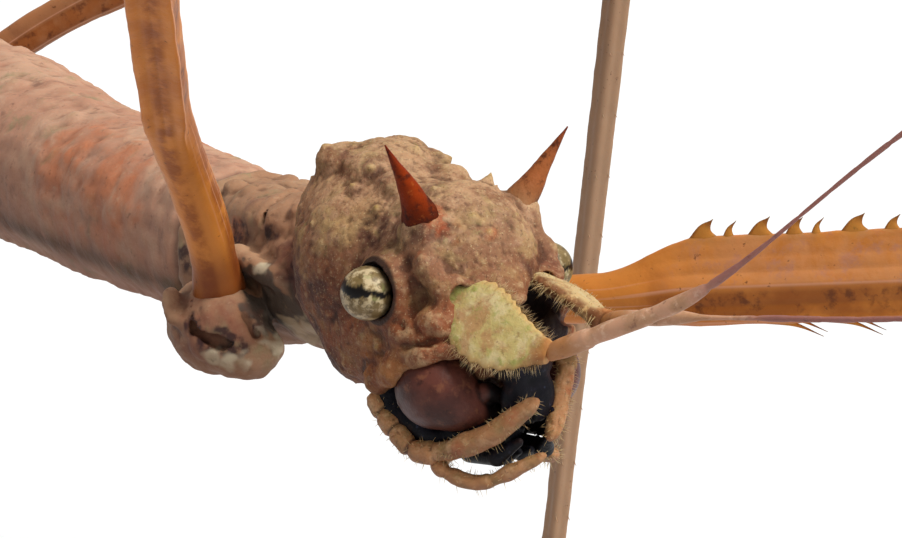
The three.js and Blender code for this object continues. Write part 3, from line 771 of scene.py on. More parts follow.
def horn_skin(side):
    """A horn, with how far each point is along the part that stands free of the head."""
    base, tip = sided(HORN_BASE, side), sided(HORN_TIP, side)
    bend = mix(base, tip, 0.45) - sided((0.07, 0, 0), side)
    path = curve([mix(base, tip, -0.45), mix(base, tip, -0.12), bend, tip], 76)
    flare = lambda t: 0.08 * smooth(t, 0.38, 0.12)
    cone = lambda t: HORN_RADIUS * (0.035 + 0.965 * (1 - t) ** 1.12) + flare(t)
    free = lambda t: np.clip((t - HORN_ROOT) / (1 - HORN_ROOT), 0, 1)
    skin = loft(path, (0, 1, 0), oval(lambda t: cone(free(t))), 36)
    skin.paint["along"] = free(skin.paint["along"])
    near = 1 - skin.paint["along"]
    skin.push((0.06 * noise(skin.points, 0.5, 18) + 0.025 * noise(skin.points, 0.2, 19)) * near)
    return skin


def jaw_skin():
    """The right mandible: a smooth dome with an inner edge that runs out in two points."""
    clay = Clay((-3.4, -3.7, -4.6), (0.2, 0.4, -0.9), 0.055)
    clay.lobe((-1.8, -1.4, -2.62), (1.04, 1.22, 1.1), 0.2)
    clay.lobe((-1.3, -2.0, -3.0), (0.8, 0.75, 0.72), 0.3)
    clay.rod([(-1.0, -2.4, -3.2), (-0.35, -2.75, -3.4), (-0.1, -2.6, -3.55)], [0.4, 0.22, 0.08], 0.15)
    clay.rod([(-0.9, -2.6, -2.6), (-0.3, -2.9, -2.85)], [0.3, 0.12], 0.12)
    # the rim where the dome turns under
    clay.rod([(-2.72, -1.0, -2.96), (-2.25, -1.5, -3.46), (-1.5, -2.0, -3.7)], [0.05, 0.07, 0.05], 0.08)
    skin = clay.skin()
    outward = unit(skin.points - (-1.8, -1.4, -2.66))
    # a painted pale reflection of the bright floor on the dome's lower outer side
    skin.paint["pale"] = smooth(outward @ unit([-0.75, 0.1, -0.65]), 0.72, 0.98)
    # painted shadow over the jaw's inner part, towards the mouth
    skin.paint["inner"] = smooth(skin.points[:, 0], -1.25, -0.75)
    return skin


def lip_skin():
    """The upper lip, a notched plate that hangs from its shield."""
    clay = Clay((-1.6, -4.2, -3.9), (1.6, -2.0, -1.2), 0.05)
    clay.lobe((0, -2.95, -1.95), (0.95, 0.5, 0.45), 0.12)
    for side in (-1, 1):
        clay.lobe((side * 0.35, -3.2, -2.75), (0.52, 0.3, 0.72), 0.15)
    clay.lobe((0, -3.3, -3.5), (0.16, 0.6, 0.34), 0.1, pressed=True)
    clay.rod([(-0.8, -3.45, -2.28), (0, -3.6, -2.25), (0.8, -3.45, -2.28)], [0.05] * 3, 0.06, pressed=True)
    return clay.skin()


def mouth_skin():
    """The inner mouthparts: the lower lip, its lobes and the lobes beside the jaws."""
    clay = Clay((-2.8, -4.3, -5.3), (2.8, 1.4, -1.9), 0.06)
    clay.lobe((0, -1.1, -3.85), (1.0, 1.5, 0.6), 0.2)
    clay.lobe((0, -1.5, -4.3), (0.8, 0.8, 0.36), 0.15)
    for side in (-1, 1):
        at = sided_at(side)
        clay.rod([at(0.25, -1.8, -4.5), at(0.3, -2.6, -4.5), at(0.2, -3.1, -4.25)], [0.26, 0.22, 0.1], 0.08)
        clay.rod([at(0.75, -1.6, -4.5), at(0.8, -2.9, -4.34), at(0.5, -3.5, -3.85)], [0.32, 0.26, 0.12], 0.08)
        clay.rod([at(1.25, -0.9, -4.0), at(1.2, -2.4, -3.85), at(0.75, -3.35, -3.2)], [0.4, 0.32, 0.14], 0.08)
        clay.rod([at(1.7, 0.2, -3.6), at(1.5, -1.3, -4.0), at(1.0, -2.8, -3.5)], [0.4, 0.3, 0.15], 0.08)
        clay.rod([at(1.9, 0.5, -2.9), at(2.0, 0.1, -3.55), at(1.7, -1.2, -4.0)], [0.5, 0.44, 0.36], 0.1)
    return clay.skin()


def scape_skin(name):
    """The first joint of a feeler, flattened like a leaf with a crinkled edge."""
    path = curve(SCAPES[name], 110)
    spots = [0, 0.06, 0.16, 0.34, 0.55, 0.75, 0.9, 1]
    rim = table(spots, [0.22, 0.3, 0.72, 1.0, 1.03, 0.8, 0.48, 0.31])
    far = table(spots, [0.22, 0.34, 0.84, 1.02, 0.92, 0.66, 0.42, 0.31])

    def ring(t, a):
        c, s = np.cos(a), np.sin(a)
        wide = np.where(c > 0, rim(t), far(t)) * (1 + 0.03 * np.sin(70 * t + 3 * np.sign(c)))
        ends = smooth(t, 0.12, 0.0) + smooth(t, 0.85, 1.0)
        thick = SCAPE_THICK[name] + 0.12 * ends + 0.02 * np.abs(np.sin(2 * a))
        return np.sign(c) * np.abs(c) ** 0.8 * wide, s * thick

    skin = loft(path, SCAPE_FACE[name], ring, 56)
    across = np.cos(skin.angle())
    skin.paint["edge"] = smooth(np.abs(across), 0.7, 0.97)
    skin.paint["under"] = smooth(across, 0.5, 0.95) * (name == "left")
    return skin


def jointed(joints, waist):
    """How thick a limb of several joints is along its length: each is thin at its root and rounded
    at its end."""
    joints = np.asarray(joints, float)

    def swell(t):
        i = np.clip(np.searchsorted(joints, t, side="right") - 1, 0, len(joints) - 2)
        part = (t - joints[i]) / (joints[i + 1] - joints[i])
        return (waist + (1 - waist) * smooth(part, 0, 0.3)) * rounding(part - 0.86, 0.14, 0.55)

    return swell


def is_upper(palp):
    return palp.startswith("maxillary")


def palp_skin(name):
    """A jointed palp, slimmer towards its tip."""
    swell = jointed([0, 0.1, 0.2, 0.31, 0.44, 1] if is_upper(name) else [0, 0.3, 0.62, 1], 0.74)
    girth = PALP_GIRTHS.get(name, 0.22)
    slim = lambda t: girth * swell(t) * rounding(t - 0.95, 0.05, 0.8) * (1 - 0.35 * smooth(t, 0.72, 1.0))
    skin = loft(curve(PALPS[name], 130), UP, oval(slim), 28)
    skin.push(0.03 * noise(skin.points, 0.4, 16) + 0.015 * noise(skin.points, 0.15, 17))
    return skin


def whip_skin(name):
    """The rest of a feeler: a stout second joint, then a tapering whip of many joints."""
    stout = 1 if name == "right" else 0.6
    spots = [0, 0.012, *(spot * stout for spot in (0.03, 0.05, 0.065, 0.076)), 0.09, 0.18, 0.5, 1]
    girth = table(spots, [0.27, 0.28, 0.25, 0.23, 0.2, 0.13, 0.09, 0.07, 0.055, 0.045])
    swell = jointed([0, 0.022, 0.05, *np.linspace(0.076, 1, 60)], 0.86)
    return loft(curve(WHIPS[name], 620), UP, oval(lambda t: girth(t) * swell(t)), 20)


# Places on the head: its tubercles (x, y, z, reach, height) and its marks (x, y, z, reach).
PAIRED_TUBERCLES = [(1.76, 2.64, 2.33, 0.26, 0.2), (1.29, 2.5, 2.86, 0.3, 0.2)]
TUBERCLES = [
    (-1.8, 1.45, 1.95, 0.24, 0.16), (0.38, 2.69, 3.25, 0.3, 0.14), (0.88, -0.05, 2.53, 0.3, 0.34),
    (-0.61, -1.42, 2.01, 0.3, 0.1), (-0.3, -1.83, 1.62, 0.24, 0.12), (-2.36, -1.43, 1.12, 0.22, 0.14),
    (-2.64, 0.08, -1.61, 0.22, 0.12), (-0.88, -0.05, 2.53, 0.26, 0.16), (-1.5, 4.5, 3.2, 0.3, 0.2),
    (1.2, 4.9, 3.0, 0.34, 0.2), (0, 1.2, 2.9, 0.3, 0.12),
]
PAIRED_MARKS = {
    # mostly painted shadow on the back and lower sides of the head
    "dark": [(2.17, 1.07, 1.43, 0.8), (3.1, 2.31, -0.62, 1.2), (2.7, 4.1, -0.6, 1.2),
             (2.5, 3.5, -1.7, 1.0), (2.3, 2.6, -2.6, 0.9)],
    "ochre": [(2.5, 1.85, 1.46, 0.9), (2.63, -0.64, -2.23, 0.7)],
    "amber": [(2.6, -0.6, -2.3, 1.0)],
}
HEAD_MARKS = {
    # mostly painted shadow beside the horns, between horns and eyes and low on the head
    "dark": [(-1.75, -0.95, 1.75, 0.6), (1.34, -0.56, 2.45, 0.3), (-2.55, -1.0, 0.85, 0.35),
             (-1.7, -0.9, 1.45, 0.35), (1.7, -0.9, 1.45, 0.3), (-2.6, 0.6, -2.6, 0.8),
             (0.75, -2.16, 0.5, 0.4)],
    "ochre": [(-0.6, -1.6, 1.8, 0.8), (-2.2, -1.4, -0.2, 0.6)],
    "rust": [(-1.5, -1.0, 1.95, 0.6), (-0.3, -1.83, 1.62, 0.35), (-2.36, -1.43, 1.12, 0.25),
             (-2.1, -1.7, -0.7, 0.6)],
    "amber": [(-2.75, 0.4, -2.3, 0.9)],
    # painted shadow in the hollows under the feelers' leaves
    "hollow": [(1.2, -2.2, -0.75, 0.75), (1.1, -2.7, -1.05, 0.8), (1.5, -2.5, -0.95, 0.7),
               (1.0, -1.85, -0.3, 0.5), (-1.1, -2.4, -0.8, 0.6)],
}


def both_sides(places):
    """Places given for one side, and the same on the other."""
    return places + [(-x, *rest) for x, *rest in places]


def stain(skin, name, marks):
    """Paints soft-edged marks with uneven outlines on a skin."""
    ragged = 1 + 0.35 * noise(skin.points, 0.5, 21) + 0.35 * noise(skin.points, 0.2, 22)
    mask = np.zeros(len(skin.points))
    for *place, reach in marks:
        far = np.linalg.norm(skin.points - place, axis=1) / reach
        mask = np.maximum(mask, 1 - smooth(far * ragged, 0.35, 1.0))
    skin.paint[name] = mask


def scattered(skin, count, spacing, seed, allowed):
    """Up to so many points of a skin, picked at random where allowed is true, no two closer than the
    spacing."""
    rng = np.random.default_rng(seed)
    picked = []
    for i in rng.permutation(np.flatnonzero(allowed)):
        spot = skin.points[i]
        if all(np.linalg.norm(spot - skin.points[j]) > spacing for j in picked):
            picked.append(i)
        if len(picked) == count:
            break
    return picked


def skull_skin():
    """The head's surface with its tubercles and grains, calmer around the eyes, and its marks."""
    skin = skull_clay().skin()
    p, normals = skin.points, skin.normals()
    rng = np.random.default_rng(31)
    outside = (np.abs(p[:, 0]) < 3.3) & (p[:, 1] < 5.7) & (p[:, 2] > -3.2)
    eyes = np.minimum(*(np.linalg.norm(p - sided((EYE_OUT, 0, 0), side), axis=1) for side in (-1, 1)))
    tubercles = TUBERCLES + both_sides(PAIRED_TUBERCLES)
    crown = outside & (p[:, 2] > 0.9) & (normals[:, 2] > 0.1) & (eyes > 1.3)
    for i in scattered(skin, 48, 0.45, 32, crown):
        tubercles.append((*p[i], rng.uniform(0.12, 0.22), rng.uniform(0.03, 0.1)))
    for i in scattered(skin, 60, 0.5, 33, outside & (eyes > 1.25)):
        tubercles.append((*p[i], rng.uniform(0.1, 0.17), rng.uniform(0.02, 0.06)))
    rise, knobs = np.zeros(len(p)), np.zeros(len(p))
    for *place, reach, height in tubercles:
        far = np.linalg.norm(p - place, axis=1) / reach
        top = np.clip(1 - far, 0, 1) ** 1.4
        rise = np.maximum(rise, height * top)
        knobs = np.maximum(knobs, top * min(1, height / 0.12))
    calm = smooth(eyes, 0.95, 1.3)
    rough = 0.075 * noise(p, 0.95, 34) + 0.04 * noise(p, 0.42, 35) + 0.02 * noise(p, 0.18, 36)
    grains = pebbles(p, 0.26, 37) * 0.028
    skin.push(rise + (rough + grains) * mix(0.6, 1, calm) - 0.02)
    skin.paint["knob"] = knobs
    for name, marks in HEAD_MARKS.items():
        stain(skin, name, marks + both_sides(PAIRED_MARKS.get(name, [])))
    # painted shadow in the groove around each eye
    skin.paint["rim"] = 1 - smooth(eyes, 0.85, 1.1)
    skin.paint["crown"] = smooth(p[:, 2], 0.9, 2.3)
    skin.paint["cheek"] = smooth(p[:, 2], 1.5, -0.4)
    return skin


def eye_skin(side):
    """An eye, with its dark stripe painted on it and painted shade on its inner side, where it sits in its
    socket.
    """
    middle = sided((EYE_OUT + 0.1, 0, -0.06), side)
    skin = ball(middle, EYE_RADIUS)
    p = skin.points - middle
    ragged = 0.1 * noise(p, 0.16, 41) + 0.06 * noise(p, 0.06, 42)
    height = p[:, 2] - 0.18 * p[:, 1] - 0.25 + ragged
    wide = 0.17 * (1 - 0.45 * smooth(np.abs(p[:, 1]), 0.3, 0.75))
    skin.paint["stripe"] = 1 - smooth(np.abs(height), wide * 0.7, wide * 1.3)
    # painted shade on the side that faces into the head
    skin.paint["edge"] = smooth(-p[:, 0] * side, -0.12, 0.25)
    return skin


# ---- Bristles ----


def bristles(skin, count, seed, length, lean, allowed, girth):
    """Thin tapering hairs on a skin. lean is how far they lean from standing straight up on it.
    Each one has its own small patch of the OFBake picture, at its root's place along and around."""
    rng = np.random.default_rng(seed)
    chosen = rng.choice(np.flatnonzero(allowed), count, replace=count > allowed.sum())
    normals = skin.normals()[chosen]
    roots = skin.points[chosen]
    ways = unit(normals + np.asarray(lean) + rng.normal(0, 0.25, (count, 3)))
    sizes = rng.uniform(*length, count)[:, None]
    side = unit(np.cross(ways, rng.normal(0, 1, (count, 3))))
    other = np.cross(ways, side)
    droop = np.asarray(lean) * 0.25 + rng.normal(0, 0.06, (count, 3))
    points, u, v = [], [], []
    start_u, start_v = (skin.paint[name][chosen] * 0.95 + 0.02 for name in ("along", "around"))
    for part, thick in ((-0.08, girth), (0.55, girth * 0.62)):
        middle = roots + ways * sizes * part + droop * sizes * max(part, 0) ** 2
        for turn in (0, 2 * np.pi / 3, 4 * np.pi / 3):
            points.append(middle + (side * math.cos(turn) + other * math.sin(turn)) * thick)
            u.append(start_u + 0.0015 * math.cos(turn))
            v.append(start_v + 0.003 * part)
    points.append(roots + ways * sizes + droop * sizes)
    u.append(start_u)
    v.append(start_v + 0.003)
    each = np.arange(count)[:, None] * 7
    order = lambda pattern: (each[..., None] + np.array(pattern)[None]).reshape(-1, len(pattern[0]))
    hair = Skin(
        np.stack(points, 1).reshape(-1, 3),
        order([(0, 1, 4, 3), (1, 2, 5, 4), (2, 0, 3, 5)]),
        order([(3, 4, 6), (4, 5, 6), (5, 3, 6), (0, 2, 1)]),
    )
    hair.paint["u"] = np.stack(u, 1).ravel()
    hair.paint["v"] = np.stack(v, 1).ravel()
    return hair


def scape_fringe(name, skin):
    """The longer hairs on the edge of a feeler's leaf and the short ones on its faces."""
    around = skin.paint["around"]
    edge = np.minimum(np.abs(around - 0.5), np.minimum(around, 1 - around)) < 0.035
    inside = (skin.paint["along"] > 0.1) & (skin.paint["along"] < 0.97)
    if name == "right":
        on_edge = bristles(skin, 260, 51, (0.14, 0.36), (0, 0.1, -0.3), edge & inside, 0.007)
    else:
        on_edge = bristles(skin, 110, 51, (0.25, 0.55), (-0.5, 0, -0.6), edge & inside, 0.009)
    on_face = bristles(skin, 260, 52, (0.06, 0.13), (0, -0.3, -0.2), inside, 0.009)
    return merged([on_edge, on_face])


def palp_fringe(name, skin):
    inside = (skin.paint["along"] > 0.06) & (skin.paint["along"] < 0.99)
    count = 260 if is_upper(name) else 120
    return bristles(skin, count, 53, (0.12, 0.27), (0, -0.25, -0.1), inside, 0.009)


# ---- The trunk ----


def starts():
    """How far back from the eyes each stretch of the trunk begins."""
    return np.cumsum([NECK] + [length for _, length, _, _ in TRUNK])


def front_clay():
    """The prothorax, with the neck in front of it and the fore coxae on its sides."""
    clay = Clay((-5.0, 4.4, 23.4), (5.0, 15.4, 31.4), 0.075)
    middle = EYE_LEVEL - SPINE_DROP
    clay.lobe((0, 8.3, middle + 0.2), (2.1, 3.0, 2.0), 0.5)
    clay.lobe((0, 11.3, middle), (2.35, 3.6, 2.5), 0.5)
    clay.lobe((0, 13.9, middle), (2.55, 1.3, 2.6), 0.4)
    # the neck, a soft tube of folds
    clay.rod([(0, 4.9, middle + 0.6), (0, 7.4, middle + 0.35)], [1.6, 1.7], 0.2)
    for back in (5.9, 6.45, 7.0):
        clay.rod([(0, back, middle + 0.45), (0, back + 0.02, middle + 0.45)], [1.86, 1.86], 0.1)
    # the shield of the prothorax: its raised edge, its cross furrow and its bumps
    clay.lobe((0, 10.5, middle + 1.75), (1.85, 3.6, 0.85), 0.3)
    clay.rod([(-1.9, 9.3, middle + 1.7), (0, 10.1, middle + 2.72), (1.9, 9.3, middle + 1.7)],
             [0.1, 0.13, 0.1], 0.25, pressed=True)
    clay.rod([(0, 7.8, middle + 2.55), (0, 13.6, middle + 2.75)], [0.06, 0.06], 0.2, pressed=True)
    clay.lobe((0, 8.4, middle - 1.3), (1.1, 2.0, 0.7), 0.4)
    for side in (-1, 1):
        at = lambda x, y, z: np.array([side * x, y, middle + z])
        for y in (8.2, 11.6, 13.0):
            clay.lobe(at(0.95, y, 2.28), (0.32, 0.32, 0.24), 0.25)
        # the side fold over the coxa, and the coxa with the trochanter that leaves it
        clay.rod([at(2.1, 7.4, 0.4), at(2.4, 9.6, 0.75), at(2.45, 12.2, 0.3)], [0.3, 0.36, 0.3], 0.3)
        clay.lobe(at(3.0, 9.75, -1.36), (1.5, 1.95, 1.5), 0.22)
        clay.lobe(at(2.6, 8.5, -1.9), (1.1, 1.0, 0.85), 0.3)
        clay.rod([at(2.2, 12.2, -0.9), at(2.6, 11.9, -0.2)], [0.3, 0.2], 0.25, pressed=True)
        clay.lobe(hip_place("fore", side) + launch_way("fore", side) * 0.15, [0.98] * 3, 0.12)
        # the grooves and folds of the coxa
        groove = [at(3.95, 9.4, -0.55), at(4.15, 8.95, -1.15), at(3.75, 8.25, -1.5), at(3.1, 7.95, -1.55)]
        clay.rod(groove, [0.13, 0.17, 0.2, 0.13], 0.14, pressed=True)
        fold = [at(4.05, 8.75, -1.65), at(3.55, 8.15, -1.95), at(2.95, 7.95, -1.9)]
        clay.rod(fold, [0.1, 0.14, 0.1], 0.16)
        clay.rod([at(2.95, 8.05, -0.6), at(2.65, 7.85, -1.3)], [0.1, 0.12], 0.14, pressed=True)
        clay.rod([at(4.4, 10.2, -0.35), at(4.5, 9.6, -0.9)], [0.28, 0.3], 0.25)
    return clay


def trunk_loft(first, last, pitch, sides):
    """The trunk over some of its stretches, with a groove at each joint between two of them."""
    edges = starts()
    start, end = edges[first], edges[last]
    back = np.linspace(start, end, int((end - start) / pitch))
    path = np.stack([0 * back, back, spine_height(back)], 1)
    which = np.clip(np.searchsorted(edges, back, side="right") - 1, 0, len(TRUNK) - 2)
    part = (back - edges[which]) / (edges[which + 1] - edges[which])
    gap = np.minimum(back - edges[which], edges[which + 1] - back)
    swelling = 1 - 0.07 * (2 * part - 1) ** 4 - 0.1 * bell(gap, 0.28)
    swelling += 0.035 * bell(edges[which + 1] - back - 0.8, 0.5)
    halves = np.array([row[2:] for row in TRUNK], float)
    wide, high = (mix(half[which], half[which + 1], part) * swelling for half in halves.T)
    spots = np.linspace(0, 1, len(back))

    def ring(t, a):
        c, s = np.cos(a), np.sin(a)
        swell = (np.abs(c) ** 2.3 + np.abs(s) ** 2.3) ** (-1 / 2.3)
        # fine keels along the middle of the back and both sides of the belly
        keel = sum(bell(turned_by(a, turn), 0.07) for turn in (np.pi / 2, -0.95, np.pi + 0.95))
        swell = swell * (0.975 + 0.035 * keel)
        return c * swell * np.interp(t, spots, wide), s * swell * np.interp(t, spots, high)

    skin = loft(path, UP, ring, sides)
    skin.paint["joint"] = bell(np.interp(skin.points[:, 1], back, gap), 0.45)
    return skin


BUMP_PITCH = 3.1


def thorax_skin():
    """The trunk from the mesothorax to the median segment, with two rows of low bumps on its back."""
    skin = trunk_loft(1, 4, 0.2, 120)
    p = skin.points
    bumps = np.zeros(len(p))
    edges = starts()
    back = edges[1] + 3.2
    while back < edges[3]:
        top = spine_height(back) + np.interp(back, edges[1:4], [2.7, 4.0, 3.7]) * 0.9
        tall = 0.13 * smooth(back, edges[1] + 1, edges[1] + 12)
        for side in (-1, 1):
            far = np.linalg.norm((p - [side * 1.1, back, top]) / [0.55, 0.7, 1], axis=1)
            bumps += tall * np.clip(1 - far**2, 0, 1) ** 2
        back += BUMP_PITCH
    skin.paint["bump"] = np.clip(bumps / 0.2, 0, 1)
    upper = smooth(p[:, 2] - spine_height(p[:, 1]), -1.5, 1.5)
    grains = pebbles(p, 0.75, 3) * (0.05 + 0.09 * upper)
    # the back rises before the hips of the middle legs
    rise = 0.85 * upper * smooth(p[:, 1], 25, 41) * smooth(p[:, 1], 62, 46)
    skin.push(rise + bumps + grains + 0.07 * noise(p, 1.5, 4) + 0.03 * noise(p, 0.5, 5))
    return skin


def abdomen_skin():
    """The ringed part of the abdomen, finely wrinkled along."""
    skin = trunk_loft(4, 13, 0.3, 96)
    p = skin.points
    grains = pebbles(p, 0.9, 6) * 0.06
    wrinkles = 0.03 * noise(p * [3, 0.4, 3], 1.2, 7)
    skin.push(grains + wrinkles + 0.05 * noise(p, 1.8, 8) - 0.02)
    return skin


def coxa_skin(pair, side):
    """A middle or hind coxa, and the trochanter that leaves it."""
    hip, launch = hip_place(pair, side), launch_way(pair, side)
    size = np.array(LEGS[pair]["coxa"])
    clay = Clay(hip - 3.2, hip + 3.2, 0.11)
    clay.lobe(hip + (side * size[0] * 0.1, 0, -size[2] * 0.25), size * 0.98, 0.1)
    clay.rod([hip + (-side * 0.6, 1.2, -0.5), hip + (side * 0.8, 1.3, -1.0)], [0.5, 0.35], 0.3)
    clay.lobe(hip + launch * 0.3, [1.25] * 3, 0.12)
    clay.rod([hip + launch * 0.9, hip + launch * 1.9], [1.0, 0.9], 0.1)
    skin = clay.skin()
    skin.push(pebbles(skin.points, 0.6, 9) * 0.05 + 0.05 * noise(skin.points, 0.9, 10) - 0.02)
    return skin


def plate_skin():
    """The blade under the end of the abdomen."""
    edges = starts()
    front, tip = edges[10] + 1.5, edges[13] + 14
    path = evenly([(0, front, spine_height(front) - 2.5), (0, tip, spine_height(edges[13]) - 2.1)], 140)
    shape = table([0, 0.06, 0.2, 0.38, 0.6, 0.8, 0.95, 1], [0.5, 0.72, 1, 1, 0.68, 0.4, 0.17, 0.06])

    def ring(t, a):
        c, s = np.cos(a), np.sin(a)
        keel = 1 + 0.35 * bell(turned_by(a, -np.pi / 2), 0.25)
        high = 0.62 * (0.12 + 0.88 * shape(t) ** 0.7) * keel * np.where(s > 0, 0.8, 1)
        return c * 1.9 * shape(t), s * high

    skin = loft(path, UP, ring, 64)
    skin.push(0.03 * noise(skin.points * [1, 0.35, 1], 0.8, 11))
    return skin


def cercus_skin(side):
    """One of the two small leaves at the tail."""
    end = starts()[13]
    root = np.array([side * 1.0, end - 0.3, spine_height(end)])
    path = curve([root, root + (side * 0.35, 1.8, 0.1), root + (side * 0.5, 3.4, -0.2)], 60)
    leaf = table([0, 0.3, 0.7, 0.93, 1], [0.6, 1, 0.9, 0.5, 0.2])
    return loft(path, UP, oval(lambda t: 0.48 * leaf(t), lambda t: 0.26 * leaf(t)), 24)


# ---- Blender meshes ----

MM = 0.001
LIT = unit([0.25, -0.3, 0.85])  # the way from which the painted light falls: sides turned from it get painted shade
RELIEF_EDGE = 0.07  # the length of a face at which the relief depths for the painted shade and highlights hold


def eye_middle():
    """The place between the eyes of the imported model, in millimetres."""
    corners = [np.array(corner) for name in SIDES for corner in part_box(f"eye_{name}")]
    return np.mean(corners, axis=0) / MM


# The model stands with its own middle over the origin, so everything moves by this much.
SHIFT = eye_middle() - (0, 0, EYE_LEVEL)


def paint_light_and_shade(skin):
    """Paints light and shade on a skin from its shape: painted shade in its hollows, a painted highlight on
    the tops of its small rises and painted shade on the sides turned from the light.
    """
    edge = np.linalg.norm(skin.points[skin.quads[:, 0]] - skin.points[skin.quads[:, 1]], axis=1).mean()
    fine, broad = (skin.relief(rounds) * (RELIEF_EDGE / edge) for rounds in (5, 40))
    # painted shade in the hollows
    skin.paint["deep"] = np.clip(smooth(-fine, 0.0, 0.022) + smooth(-broad, 0.01, 0.16), 0, 1)
    # painted highlight on the tops of small rises
    skin.paint["high"] = smooth(fine, 0.003, 0.025)
    # painted shade on the sides turned away from the light
    skin.paint["shade"] = smooth(skin.normals() @ LIT, 0.55, -0.6)


def add(name, data):
    """A new object in the scene."""
    made = bpy.data.objects.new(name, data)
    bpy.context.scene.collection.objects.link(made)
    return made


def make(name, skin, finish, slot, *nodes):
    """The Blender piece of a skin, in place of the named solids."""
    # every skin but the hairs gets painted light and shade from its shape
    if "u" not in skin.paint:
        paint_light_and_shade(skin)
    mesh = bpy.data.meshes.new(name)
    mesh.from_pydata((skin.points + SHIFT) * MM, [], skin.quads.tolist() + skin.tris.tolist())
    mesh.shade_smooth()
    for paint, values in skin.paint.items():
        if paint not in ("u", "v"):
            spots = mesh.attributes.new(paint, "FLOAT", "POINT")
            spots.data.foreach_set("value", values.astype(np.float32))
    if "u" in skin.paint:
        corners = np.zeros(len(mesh.loops), np.int32)
        mesh.loops.foreach_get("vertex_index", corners)
        flat = np.stack([skin.paint["u"], skin.paint["v"]], 1)[corners]
        mesh.uv_layers.new(name="OFBake").data.foreach_set("uv", flat.astype(np.float32).ravel())
    mesh.materials.append(finish)
    piece = add(name, mesh)
    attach(piece, "root")
    if nodes:
        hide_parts(*nodes)


def make_on_head(name, skin, *how):
    make(name, skin.turned(on_head), *how)


# ---- Materials ----


def tone(code):
    """A colour written as on the web, as Blender's own."""
    parts = [int(code[i:i + 2], 16) / 255 for i in (0, 2, 4)]
    return [part / 12.92 if part <= 0.04045 else ((part + 0.055) / 1.055) ** 2.4 for part in parts] + [1]


GLOW_COLOR, GLOW_DEPTH = (1.0, 0.45, 0.25), 0.3  # the light that goes into a skin and out again
# the colours that the painted shade multiplies into the hollows and into the sides turned from the light
HOLLOW_SHADE_TONE, UNDERSIDE_SHADE_TONE = "664534", "7c6350"


class Finish:
    """A material mixed from layers of colour, whose patterns are measured in millimetres."""

    def __init__(self, name, color, rough, glow=0.0, specular=0.5, deep=0.75, shade=0.7):
        self.made = bpy.data.materials.new(name)
        self.made.use_nodes = True
        tree = self.made.node_tree
        self.nodes, self.links = tree.nodes, tree.links
        self.shader = self.nodes["Principled BSDF"]
        for socket, value in {
            "Roughness": rough,
            "Specular IOR Level": specular,
            "Subsurface Weight": glow,
            "Subsurface Radius": GLOW_COLOR,
            "Subsurface Scale": GLOW_DEPTH * MM,
        }.items():
            self.shader.inputs[socket].default_value = value
        inputs = {0: self.node("ShaderNodeTexCoord", {}).outputs["Object"], "Scale": 1 / MM}
        self.place = self.node("ShaderNodeVectorMath", inputs, operation="SCALE").outputs[0]
        self.color = tone(color)
        # how strongly painted shade darkens the hollows and the sides turned from the light
        self.deep, self.shade = deep, shade
        self.bent = None

    def node(self, kind, inputs, **settings):
        """A new node, with a value or another node's output for each of its inputs named."""
        made = self.nodes.new(kind)
        for name, value in settings.items():
            setattr(made, name, value)
        for name, value in inputs.items():
            self.feed(made.inputs[name], value)
        return made

    def feed(self, socket, value):
        if isinstance(value, bpy.types.NodeSocket):
            self.links.new(value, socket)
        else:
            socket.default_value = value

    def noise(self, size, detail, rough=0.55, warp=0.0):
        inputs = {"Scale": 1 / size, "Detail": detail, "Roughness": rough, "Distortion": warp}
        return self.node("ShaderNodeTexNoise", {"Vector": self.place, **inputs}).outputs["Fac"]

    def cells(self, size):
        inputs = {"Vector": self.place, "Scale": 1 / size}
        return self.node("ShaderNodeTexVoronoi", inputs).outputs["Distance"]

    def paint(self, name):
        return self.node("ShaderNodeAttribute", {}, attribute_name=name).outputs["Fac"]

    def band(self, value, low, high, top=1.0):
        """0 where the value is below low and top where it is above high, or the other way round."""
        ends = (low, high, 0, top) if low < high else (high, low, top, 0)
        inputs = dict(zip(("Value", "From Min", "From Max", "To Min", "To Max"), (value, *ends)))
        return self.node("ShaderNodeMapRange", inputs, interpolation_type="SMOOTHSTEP").outputs["Result"]

    def math(self, operation, a, b=0.0):
        return self.node("ShaderNodeMath", {0: a, 1: b}, operation=operation).outputs[0]

    def times(self, a, b):
        return self.math("MULTIPLY", a, b)

    def lay(self, color, mask, blend="MIX"):
        """Lays a colour over what is there already."""
        inputs = {"Factor": mask, 6: self.color, 7: tone(color)}
        made = self.node("ShaderNodeMix", inputs, data_type="RGBA", blend_type=blend)
        self.color = made.outputs[2]

    def wash(self, color, paint, low, high, top):
        """Lays a colour where a paint is."""
        self.lay(color, self.band(self.paint(paint), low, high, top))

    def mottle(self, color, spots, low, high, top, on=None):
        """Lays a colour in spots of noise, everywhere or where a paint is. spots are the noise's
        size, detail, roughness and warp."""
        ground = on and self.paint(on)
        mask = self.band(self.noise(*spots), low, high, top)
        self.lay(color, self.times(ground, mask) if on else mask)

    def emboss(self, value, height):
        """Bends the light as if the surface rose by up to the height."""
        inputs = {"Distance": height * MM, "Height": value}
        if self.bent is not None:
            inputs["Normal"] = self.bent
        self.bent = self.node("ShaderNodeBump", inputs).outputs[0]

    def vary(self, value, low, high):
        """Makes the roughness follow a value between two numbers."""
        made = self.node("ShaderNodeMapRange", {"Value": value, "To Min": low, "To Max": high})
        self.feed(self.shader.inputs["Roughness"], made.outputs["Result"])

    def done(self):
        """Lays painted shade into the hollows and onto the sides turned from the light, and gives the
        finished material.
        """
        if self.deep:
            self.lay(HOLLOW_SHADE_TONE, self.times(self.paint("deep"), self.deep), "MULTIPLY")
        if self.shade:
            self.lay(UNDERSIDE_SHADE_TONE, self.times(self.paint("shade"), self.shade), "MULTIPLY")
        self.feed(self.shader.inputs["Base Color"], self.color)
        if self.bent is not None:
            self.feed(self.shader.inputs["Normal"], self.bent)
        return self.made


